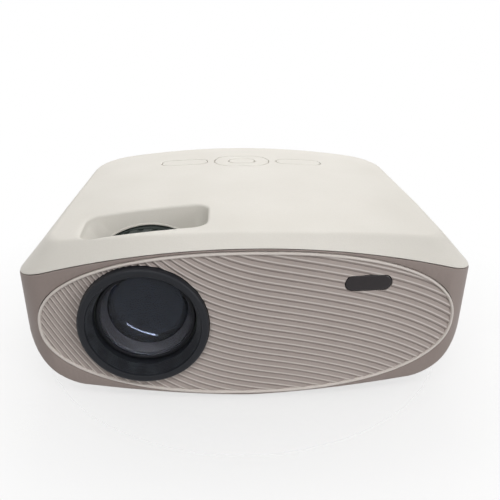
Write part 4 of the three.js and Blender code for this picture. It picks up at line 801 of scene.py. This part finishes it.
def pill(x0, y0, width, depth, count=30):
    """The outline of a pill: two half circles joined by straight sides."""
    radius = depth / 2
    angle = np.radians(np.linspace(-90, 90, count))
    end = np.stack([width / 2 - radius + radius * np.cos(angle), radius * np.sin(angle)], axis=1)
    straight = np.linspace(end[-1], end[-1] * (-1, 1), 16)[1:-1]
    return np.concatenate([end, straight, -end, -straight]) + (x0, y0)


def on_roof(outline, drop):
    """The outline laid on the roof, or below it by drop."""
    x, y = outline.T
    return np.stack([x, y, roof_at(x, y) - drop], axis=1)


well_floor, well_top = 80, 96


def key_well(x0, y0, width, depth, lip_round=0.35):
    """A straight well for a key, with a small rounded lip."""
    steps = [(0, 9)]
    for turn_out in np.radians([0, 25, 50, 78]):
        steps.append((2 * lip_round * (1 - math.cos(turn_out)), lip_round * (1 - math.sin(turn_out))))
    steps += [(2, -0.15), (2, -3)]
    loops = np.array([on_roof(pill(x0, y0, width + grow, depth + grow), drop) for grow, drop in steps])
    loops[0, :, 2], loops[-1, :, 2] = well_floor, well_top
    return loops


key_x, key_y = 0.6, 43.0
long_key_away = 36.5
slot_radius = 35.2
ring_slot = np.array([circle_y(slot_radius, -62.85), circle_y(slot_radius, pocket_back)])
wells = [key_well(key_x + long_key_away * side, key_y, 29.4, 11.6) for side in (-1, 1)]
wells.append(key_well(key_x, key_y, 35.2, 23.6))
barrel_room = np.array([circle_y(26, -75), circle_y(26, -62)])
carve(cover, [cutter(ring_slot, *wells), cutter(barrel_room)])
settle(cover, "top_cover")
print("cover:", len(cover.data.polygons), "faces, keys let in:", len(wells))


# %% [markdown]
# ## Lip along the slot
# Where the slot cuts the pocket's leaning rear wall, the moulding ends in a small rounded lip. A Bevel
# modifier would round every other cut as well. A round bead carried along the arch rounds this one alone.

# %% Lip along the slot
def swept_bead(name, path, radius, material, sides=12):
    """A round bead along a path of points: a circle carried along it, square to its direction."""
    along_path = np.gradient(path, axis=0)
    along_path /= np.linalg.norm(along_path, axis=1)[:, None]
    first = np.cross(along_path, (0, 1, 0))
    first /= np.linalg.norm(first, axis=1)[:, None]
    second = np.cross(along_path, first)
    angle = np.linspace(0, 2 * math.pi, sides, endpoint=False)[:, None]
    loops = path[:, None] + radius * (np.cos(angle) * first[:, None] + np.sin(angle) * second[:, None])
    return ring_piece(name, loops, material)


lean = np.radians(np.linspace(-39, 49, 60))
arch_radius = slot_radius + 0.25
arch_x, arch_z = lens_x + arch_radius * np.sin(lean), lens_z + arch_radius * np.cos(lean)
arch_y = pocket_back - back_lean * (roof_top - arch_z) / pocket_depth + pocket_skew * (arch_x - lens_x)
bead = swept_bead("arch_bead", np.stack([arch_x, arch_y + 0.15, arch_z], axis=1), 0.6, finishes["cover"])
settle(bead)
print("lip:", len(bead.data.polygons), "faces")

# %% [markdown]
# ## Lower housing
# The tub is the cover's counterpart: one moulding with an arched rim, straight sides and a soft belly.
# Its front is cut out for the oval panel, its sides for the speakers, its back for the hot air and the
# sockets, and its belly for the cool air, the screws and the tripod. It could be cut from one block with
# the cover, but as a shell of its own it shows the fine line between the two, as the real one does.

# %% Tub
def belly_level(up, **insets):
    """A level that follows the belly, higher than it by up."""
    return layer(lambda x, y, full: belly_at(full) + up, **insets)


edge_round = 1.5
inner_tub = [belly_level(wall, **even(wall)), seam_level(-seam_gap, **even(wall))]
rim_edge = round_over(seam_level(-seam_gap, **even(0.5)), seam_level(-seam_gap), seam_level(-0.7), 4)
foot_edge = [
    belly_level(edge_round * (1 - math.cos(a)), **even(edge_round * (1 - math.sin(a))))
    for a in np.linspace(math.pi / 2, 0, 6)
]
tub = case_piece("lower_housing_shell", inner_tub + rim_edge + foot_edge, finishes["housing"])
print("tub skin:", len(tub.data.polygons), "faces")


# %% [markdown]
# ## Openings of the tub
# An opening is an outline pushed through the wall: an oval with a small rounded edge for the panel, upright
# pills for the vents, a soft box for the sockets and round bores for the screws. They could be drawn as
# curves with an extrusion, but then each would be a curve object that has to be made a mesh first.

# %% Outlines
oval_half_width, oval_half_height, oval_middle = 100.7, 39.3, 44
oval_power = 2.23


def oval_ring(grow, depth, y=None, count=240):
    """The panel's superellipse outline, grown, at a depth behind the bowed front or at a fixed y."""
    angle = np.linspace(0, 2 * math.pi, count, endpoint=False)
    bulge = lambda value: np.sign(value) * np.abs(value) ** (2 / oval_power)
    x = (oval_half_width + grow) * bulge(np.cos(angle))
    z = oval_middle + (oval_half_height + grow) * bulge(np.sin(angle))
    return np.stack([x, front_at(x) + depth if y is None else np.full(count, y), z], axis=1)


def upright_pill(u, v, width, height):
    """A pill outline that stands on end, as two columns of numbers."""
    return pill(v, u, height, width, 9)[:, ::-1]


def slab(outline, axis, start, end):
    """An outline pushed along axis 0, 1 or 2 from start to end, as two rings."""
    rings = []
    for at in (start, end):
        columns = list(outline.T)
        columns.insert(axis, np.full(len(outline), at))
        rings.append(np.stack(columns, axis=1))
    return np.array(rings)


def disc(x0, y0, radius, count=40):
    """A round outline."""
    angle = np.linspace(0, 2 * math.pi, count, endpoint=False)
    return np.stack([x0 + radius * np.cos(angle), y0 + radius * np.sin(angle)], axis=1)


def soft_box(x0, x1, y0, y1, radius, count=8):
    """A rectangle with round corners."""
    middles = ((x1 - radius, y1 - radius), (x0 + radius, y1 - radius),
               (x0 + radius, y0 + radius), (x1 - radius, y0 + radius))
    parts = []
    for quarters, (cx, cy) in enumerate(middles):
        angle = np.linspace(0, math.pi / 2, count) + quarters * math.pi / 2
        parts.append(np.stack([cx + radius * np.cos(angle), cy + radius * np.sin(angle)], axis=1))
    return np.concatenate(parts)


# %% Tub openings
vent_width = 3
ahead, behind, beneath = -95, 95, -3
mouth_edge = ((1.0, -0.3), (0.8, 0.0), (0.52, 0.12), (0.35, 0.35), (0.3, 0.7))
mouth = [oval_ring(1.0, 0, y=ahead), *(oval_ring(*step) for step in mouth_edge), oval_ring(0.3, 0, y=-60)]
side_vents = [slab(upright_pill(9 + 6 * k, 56, vent_width, 16), 0, start, start + 25)
              for k in range(-5, 6) for start in (-122, 97)]
rear_vents = [slab(upright_pill(lens_x + 6.2 * (k - 4.5), 43, vent_width, 46), 1, 57, 90) for k in range(10)]
belly_vents = [slab(upright_pill(26 + 7.4 * k, -35, vent_width, 36), 2, beneath, 14.7) for k in range(6)]
bay = slab(soft_box(10, 81, 29, 49, 1.5), 1, 71, behind)
screw_places = ((-93, -62), (93, -62), (-89.5, 61), (89.5, 61))
screw_wells = [slab(disc(x, y, 3.2), 2, beneath, 30) for x, y in screw_places]
screw_foot_y = -61
bores = [slab(disc(0, screw_foot_y, 3.3), 2, beneath, 30), slab(disc(0, 5, 4.9), 2, beneath, 20)]
upright_cuts = cutter(*belly_vents, *screw_wells, *bores)
carve(tub, [cutter(np.array(mouth)), cutter(*side_vents, *rear_vents, bay), upright_cuts])
settle(tub, "lower_housing")
print("tub:", len(tub.data.polygons), "faces,", len(side_vents + rear_vents + belly_vents), "vents")

# %% [markdown]
# ## Ribbed front panel
# Each rib is a shallow wave in the moulding: a fairly steep lower flank, a narrow rounded crest and a
# longer slope that runs back to the next groove. A bump texture could fake them, but their flanks catch
# the light and their ends show against the rim. So they are real relief. They rise towards the left and
# sag a little to the right, and the grid's rows follow them. The oval is then cut out of the ribbed block,
# and each point keeps its depth as an attribute, from which the material paints a highlight on the crests
# and shade in the grooves.

# %% Ribs
rib_turn, rib_unit = 16.3, 100
rib_top, rib_pitch = 89.5, 3.56


def rib_z(x, n):
    """Height of rib line n at x: a level line that climbs to the left and falls to the right."""
    place = (x - rib_turn) / rib_unit
    left, fall = np.maximum(-place, 0), np.maximum(place, 0)
    climb = 0.2 * -place + 2.21 / 2.74 * left**2.74 - 0.63 / 3.94 * fall**3.94
    return rib_top + rib_unit * climb + n * (rib_pitch + np.where(place < 0, 1.24, 0.85) * place**2)


rib_share = np.array([0, 0.07, 0.2, 0.33, 0.43, 0.54, 0.74, 0.93])
rib_lift = np.array([0, 0.38, 0.72, 0.94, 1, 0.92, 0.6, 0.25])
ribs, ribs_below = 54, 46
rib_depth, rib_sunk = 0.75, 0.15
rib_crease = 40
n_line = np.append((np.arange(ribs)[:, None] + rib_share).ravel(), ribs) - ribs_below
lift = np.append(np.tile(rib_lift, ribs), 0)
step_right = np.linspace(0, 1, 171)
x_line = 101.2 * (2 * step_right * (0.6 + 0.4 * step_right) - 1)
rib_x = np.broadcast_to(x_line, (len(n_line), len(x_line)))
rib_y = front_at(rib_x) + rib_sunk + rib_depth * (1 - lift[:, None])
rib_face = np.stack([rib_x, rib_y, rib_z(rib_x, n_line[:, None])], axis=-1)
rib_border = border(rib_face)
rib_back = rib_border.copy()
rib_back[:, 1] = -40
rib_grids = [rib_face, tube_grid([rib_border, rib_back])]
panel = make_piece("ribbed_panel", rib_grids, finishes["ribs"], rib_crease, [rib_back])
print("ribs:", ribs, "with", len(panel.data.polygons), "faces before the oval is cut out")


# %% Panel
ir_x, ir_z = 55.8, 65.7
oval = cutter(np.array([oval_ring(-0.7, 0, y=ahead), oval_ring(-0.7, 0, y=-72.5)]))
carve(panel, [oval], rib_crease, "INTERSECT")
lens_hole = np.array([circle_y(31.3, ahead), circle_y(31.3, -60)])
window_hole = slab(pill(ir_x, ir_z, 23.1, 8.4), 1, ahead, -60)
carve(panel, [cutter(lens_hole, window_hole)], rib_crease)
settle(panel, "front_panel")
# Each point's depth drives the painted crest highlight and groove shade of the ribs' material.
spot = np.empty(3 * len(panel.data.vertices))
panel.data.vertices.foreach_get("co", spot)
spot = spot.reshape(-1, 3) / mm
depth_now = np.clip((spot[:, 1] - front_at(spot[:, 0]) - rib_sunk) / rib_depth, 0, 1)
panel.data.attributes.new("groove", "FLOAT", "POINT").data.foreach_set("value", depth_now)
print("panel:", len(panel.data.polygons), "faces")

# %% [markdown]
# ## Panel rim
# A raised rounded rim frames the oval. It could be a bevelled curve, but the rim is flatter than a round
# bead. Here each ring of points is the same oval, grown and pushed back by one step of its profile.

# %% Panel rim
rim_steps = ((0, 2.6), (0, 0), (-0.1, -0.3), (-0.35, -0.52), (-0.7, -0.6), (-1.05, -0.5), (-1.3, -0.2),
             (-1.4, 0.1), (-1.4, 2.6))
# Its finish is painted paler than the ribs, as a highlight along the rim's top.
rim = ring_piece("panel_rim", np.array([oval_ring(*step) for step in rim_steps]), finishes["rim"], hole=True)
settle(rim)
print("rim:", len(rim.data.polygons), "faces")

# %% [markdown]
# ## Infrared window
# A dark pill that lets only infrared through. It's a polished red-brown moulding, so dark that nothing
# behind it shows. Tinted clear plastic would look the same and cost more time, so it is opaque here. It
# is set a little deeper than the rim and has a small rounded edge.

# %% Window
def window_ring(shrink, depth):
    """The window's pill, smaller by shrink all round, on the bowed front."""
    x, z = pill(ir_x, ir_z, 22.5 - 2 * shrink, 7.8 - 2 * shrink).T
    return np.stack([x, front_at(x) + depth, z], axis=1)


window_steps = ((0, 2.6), (0, 0.8), (0.08, 0.5), (0.3, 0.3), (0.7, 0.2), (1.6, 0.12), (2.8, 0.08),
                (3.7, 0.06))
window_rings = np.array([window_ring(*step) for step in window_steps])
window = settle(ring_piece("infrared_window", window_rings, finishes["window"]), "ir_window")
print("window:", len(window.data.polygons), "faces")

# %% [markdown]
# ## Lens ring and barrel
# The ring is a moulded hood with a rounded front edge and fine steps on its cone that catch stray light.
# Behind it is the thin end of the barrel, which slides. Both are round about the lens axis, so they are
# spun from a profile, as they would be turned on a lathe. A Screw modifier could spin them too, but then
# they would stand about their own axis, and a finished piece here has its place in its mesh.

# %% Lens ring and barrel
def turned(name, profile, material, hole=True, count=176, crease=32):
    """A piece spun about the lens axis from a profile of radius and y."""
    return ring_piece(name, np.array([circle_y(r, y, count) for r, y in profile]), material, crease, hole)


def quarter(r, y, radius, start, end, count=7):
    """Part of a round edge: points on a circle about (r, y), angles in degrees."""
    angle = np.radians(np.linspace(start, end, count))
    return list(zip(r + radius * np.cos(angle), y + radius * np.sin(angle)))


cone_step = ((0, 0.1), (0, 0.5), (0.3, 0.62))
cone = [(27.0 - 0.3 * k - inward, -81.6 + 0.84 * k + back) for k in range(7) for inward, back in cone_step]
hood_profile = (
    [(33.5, -72.75), (31, -72.75)] + quarter(29.4, -81.15, 1.6, 0, -90) + [(27.7, -82.62)]
    + quarter(27.6, -82.2, 0.4, -90, -180, 5) + cone + [(24.9, -75.6), (24.9, -71.25), (33.5, -71.25)]
)
hood = settle(turned("lens_hood", hood_profile, finishes["black"]), "lens_bezel")
barrel_profile = (
    [(22.4, -71.55), (22.4, -72.3)]
    + quarter(22.7, -72.35, 0.3, 180, 270, 4) + quarter(23.5, -72.25, 0.5, -90, 0, 5)
    + [(24, -43.75), (23.1, -43.75), (23.1, -71.55)]
)
tube = settle(turned("barrel_tube", barrel_profile, finishes["inner_black"]), "lens_barrel", body="barrel")
print("lens ring:", len(hood.data.polygons), "faces, barrel", len(tube.data.polygons), "faces")

# %% [markdown]
# ## Glass and what lies behind it
# The front glass is thick and bulges out. Behind it a satin wall tapers to a dark lens with a rounded
# edge, where the bright arc lies, and the rear glass closes the barrel. The dark lens is opaque and near
# black: painted shade that stands for the dark inside of the barrel seen through clear glass. The arc could
# be painted on, but then it would stay in place when the view turns. Here it is the strip lamp's mirror
# image. The front glass casts no shadow, because light that bends through glass renders slowly and with
# grain, and the wall behind it would stay black.

# %% Glass and what lies behind it
def glass_profile(radius, front, rim_y, back):
    """A lens blank from the front pole to the back pole. Each face is (radius, bulge)."""
    points = []
    for (reach, sag), edge_y, way in ((front, rim_y[0], -1), (back, rim_y[1], 1)):
        sphere = (reach**2 + sag**2) / (2 * sag)
        r = np.linspace(0.02, reach, 22)
        face = list(zip(r, edge_y + way * (np.sqrt(sphere**2 - r**2) - sphere + sag)))
        points += face + [(radius, edge_y)] if way < 0 else [(radius, edge_y)] + face[::-1]
    return points


glass = finishes["glass"]
front_shape = glass_profile(23, (22.3, 5), (-71.25, -67.85), (21.6, 2))
front_glass = settle(turned("front_glass", front_shape, glass, False), "front_lens", body="barrel")
front_glass.visible_shadow = False
rear_shape = glass_profile(22.1, (17.2, 3.2), (-49.05, -46.05), (19.4, 2))
settle(turned("rear_glass", rear_shape, glass, False), "rear_lens", body="barrel")
dish_edge, dish_y, dish_sag = 12.48, -55.9, 0.1
hollow = np.linspace(0.0156, dish_edge, 12)
dish = list(zip(hollow, dish_y - dish_sag * (hollow / dish_edge) ** 2))
dish += quarter(12.6, -62, 6, 90, 0, 20) + [(20.6, -62), (20.6, -53.2), (0.02, -53.2)]
# Opaque and near black, as painted shade for the barrel's dark inside.
middle_glass = turned("middle_glass", dish, finishes["deep_glass"], False)
settle(middle_glass, body="barrel")
baffle = [(22.9, -67.4), (22.1, -67.4), (18.7, -62.2), (20.8, -62.1), (20.8, -49.35), (22.9, -49.35)]
settle(turned("baffle_tube", baffle, finishes["barrel_wall"]), "lens_spacer", body="barrel")
print("glass:", len(front_glass.data.polygons), "faces in front,", len(middle_glass.data.polygons), "inside")


# %% [markdown]
# ## Adjusting rings
# Two knurled rings turn on the lens sleeve, one behind the other. A finger reaches them in the pocket.
# The front one moves the lens, and the rear one tilts the panel inside. Their grip could be a wave in a
# bump texture, but the grooves show at the ring's edge. So the ring's radius dips at each knurl.

# %% Adjusting rings
ring_points = 720
ring_width, ring_bore = 8.5, 26


def grip_ring(radius, y, knurls=30, dip=0.8):
    """A ring of points whose radius dips in a smooth groove at each knurl."""
    angle = np.linspace(0, 2 * math.pi, ring_points, endpoint=False)
    away = np.abs((angle * knurls / (2 * math.pi) + 0.5) % 1 - 0.5) / 0.25
    return circle_y(radius - dip * np.clip(1 - away**2, 0, 1), y, ring_points)


def grip(name, start, node, body):
    """A knurled ring with rounded edges. It starts at a y and is one ring width deep."""
    end = start + ring_width
    bore_steps = ((ring_bore, start + 0.3), (ring_bore, end - 0.3), (ring_bore + 0.4, end))
    bore = [circle_y(r, y, ring_points) for r, y in bore_steps]
    edge_of_ring = ((33.6, 0), (34.1, 0.2), (34.3, 0.7))
    outside = [grip_ring(r, end - step) for r, step in edge_of_ring]
    outside += [grip_ring(r, start + step) for r, step in edge_of_ring[::-1]]
    loops = bore + outside + [circle_y(ring_bore + 0.4, start, ring_points)]
    piece = ring_piece(name, np.array(loops), finishes["dark_grip"], 35, hole=True)
    return settle(piece, node, body=body)


focus = grip("focus_grip", -60.95, "focus_ring", "focus")
grip("keystone_grip", -50.45, "keystone_ring", "keystone")
sleeve_profile = [(24.3, -70.95), (25.6, -70.95), (25.6, -52.05), (28, -52.05), (28, -50.85), (25.6, -50.85),
                  (25.6, -41.2), (34.1, -41.2), (34.3, -41), (34.3, -37.3), (24.3, -37.1)]
settle(turned("sleeve", sleeve_profile, finishes["dark_grip"]), "lens_sleeve")
print("rings: two, of", len(focus.data.polygons), "faces each")

# %% [markdown]
# ## Keys
# The keys are thin caps that lie flush with the crowned roof. They could be flat pills, but on a crowned
# roof one end would stand out and the other sink in. So their tops are pieces of the same surface, with
# a small rounded edge all round.

# %% Key caps
def cap_rings(width, depth, x0, steps):
    """Rings of a pill, each smaller by shrink and lower than the roof by drop."""
    pills = [(pill(x0, key_y, width - 2 * shrink, depth - 2 * shrink), drop) for shrink, drop in steps]
    return np.array([on_roof(outline, drop) for outline, drop in pills])


edge_steps = [(0, 2.6), (0, 0.45), (0.03, 0.28), (0.13, 0.13), (0.28, 0.03), (0.45, 0)]
flat_top = [(1.5, 0), (3, 0), (4.4, 0), (5.3, 0)]
dished_top = [(1.2, 0.06), (2.4, 0.1), (3.6, 0.12), (4.4, 0.12)]
for side, node in ((-1, "left_key"), (1, "right_key")):
    rings = cap_rings(28.6, 10.8, key_x + long_key_away * side, edge_steps + flat_top)
    settle(ring_piece(node + "_cap", rings, finishes["keys"]), node, body=body_of[node])
rings = cap_rings(16.4, 9.1, key_x, edge_steps + dished_top)
settle(ring_piece("middle_cap", rings, finishes["keys"]), "ok_button", body="ok")
outer_rings = cap_rings(34.4, 22.8, key_x, edge_steps)
inner_rings = cap_rings(17.2, 9.9, key_x, [(-shrink, drop) for shrink, drop in edge_steps])
across_pad = [outer_rings[-1] * (1 - t) + inner_rings[-1] * t for t in (0.25, 0.5, 0.75)]
rings = np.concatenate([outer_rings, across_pad, inner_rings[::-1]])
pad = settle(ring_piece("direction_cap", rings, finishes["keys"], hole=True), "direction_pad", body="pad")
print("keys: two long caps, a middle button and a direction pad of", len(pad.data.polygons), "faces")

# %% [markdown]
# ## Feet
# Four soft feet carry the case, and a screw foot under the nose tilts it. Cylinders would do from a
# distance, but a rubber foot widens upwards and has a hollow in its sole, so each is spun from a profile.

# %% Feet
def laid_flat(outline, z):
    """An outline of x and y at one height."""
    return np.column_stack([outline, np.full(len(outline), z)])


def spun(name, x0, y0, profile, material, count=48):
    """A piece spun about an upright axis from a profile of radius and z."""
    rings = [laid_flat(disc(x0, y0, r, count), z) for r, z in profile]
    return ring_piece(name, np.array(rings), material)


foot_profile = [(0.05, 0.3), (3.2, 0.3), (3.5, 0), (5.4, 0), (5.85, 0.15), (6, 0.5), (6.9, 7.0), (6.9, 8.2)]
for k, (x, y) in enumerate(((-66, -56), (66, -56), (-66, 56), (66, 56)), 1):
    settle(spun(f"foot_{k}", x, y, foot_profile, finishes["rubber"]), f"rubber_foot_{k}")
screw_profile = [(0.05, 0.6), (5.5, 0.6), (5.8, 0.3), (7.5, 0.3), (8, 0.8), (8, 2), (7.5, 2.5), (3, 2.5),
                 (3, 21.7), (2.6, 22)]
screw_foot = spun("screw_foot_disc", 0, screw_foot_y, screw_profile, finishes["rubber"])
settle(screw_foot, "screw_foot", body="foot_screw")
print("feet: four, and a screw foot of", len(screw_foot.data.polygons), "faces")

# %% [markdown]
# ## Floor
# A plain pale floor takes the shadow. A big white plane would do, but its far edge would show as a grey
# line. So its alpha falls with the distance from the middle, and the floor fades out into the white.

# %% Floor
floor_radius, floor_sides = 3, 64
fade_start, fade_end, floor_alpha = 0.09, 0.22, 0.34
floor_mesh = bpy.data.meshes.new("floor")
floor_points = laid_flat(disc(0, 0, floor_radius, floor_sides), 0)
floor_mesh.from_pydata(floor_points.tolist(), [], [list(range(floor_sides))])
floor = bpy.data.objects.new("floor", floor_mesh)
bpy.context.scene.collection.objects.link(floor)
floor_paint = bpy.data.materials.new("Pale floor")
floor_paint.use_nodes = True
paint_tree = floor_paint.node_tree
pale = {"Colour": tone(246, 246, 246), "Darker": tone(243, 243, 243), "Gloss": 0.8, "Pits per metre": 300}
floor_base = add_group(paint_tree, grain, pale).outputs
distance = add_node(paint_tree, "ShaderNodeVectorMath", {"operation": "LENGTH"})
join(paint_tree, (add_node(paint_tree, "ShaderNodeTexCoord").outputs["Object"], distance.inputs[0]))
fade = remap(paint_tree, distance.outputs["Value"], fade_start, fade_end, floor_alpha, 0)
floor_takes = shader_of(floor_paint).inputs
join(paint_tree, (floor_base["Colour"], floor_takes["Base Color"]), (fade, floor_takes["Alpha"]))
join(paint_tree, (floor_base["Roughness"], floor_takes["Roughness"]))
floor_mesh.materials.append(floor_paint)
floor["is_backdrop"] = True
print("floor: fades out", fade_end, "m from the middle")

# %% [markdown]
# ## Measures
# The finer pieces stand for the CAD part and should stay inside its box. So the box of what is shown is
# measured once all pieces are there, and both boxes are set side by side.

# %% Measures
low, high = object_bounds()
print("shown box in metres:", [round(v, 4) for v in (*low, *high)])
{"cad": [list(cad_low), list(cad_high)], "shown": [list(low), list(high)]}
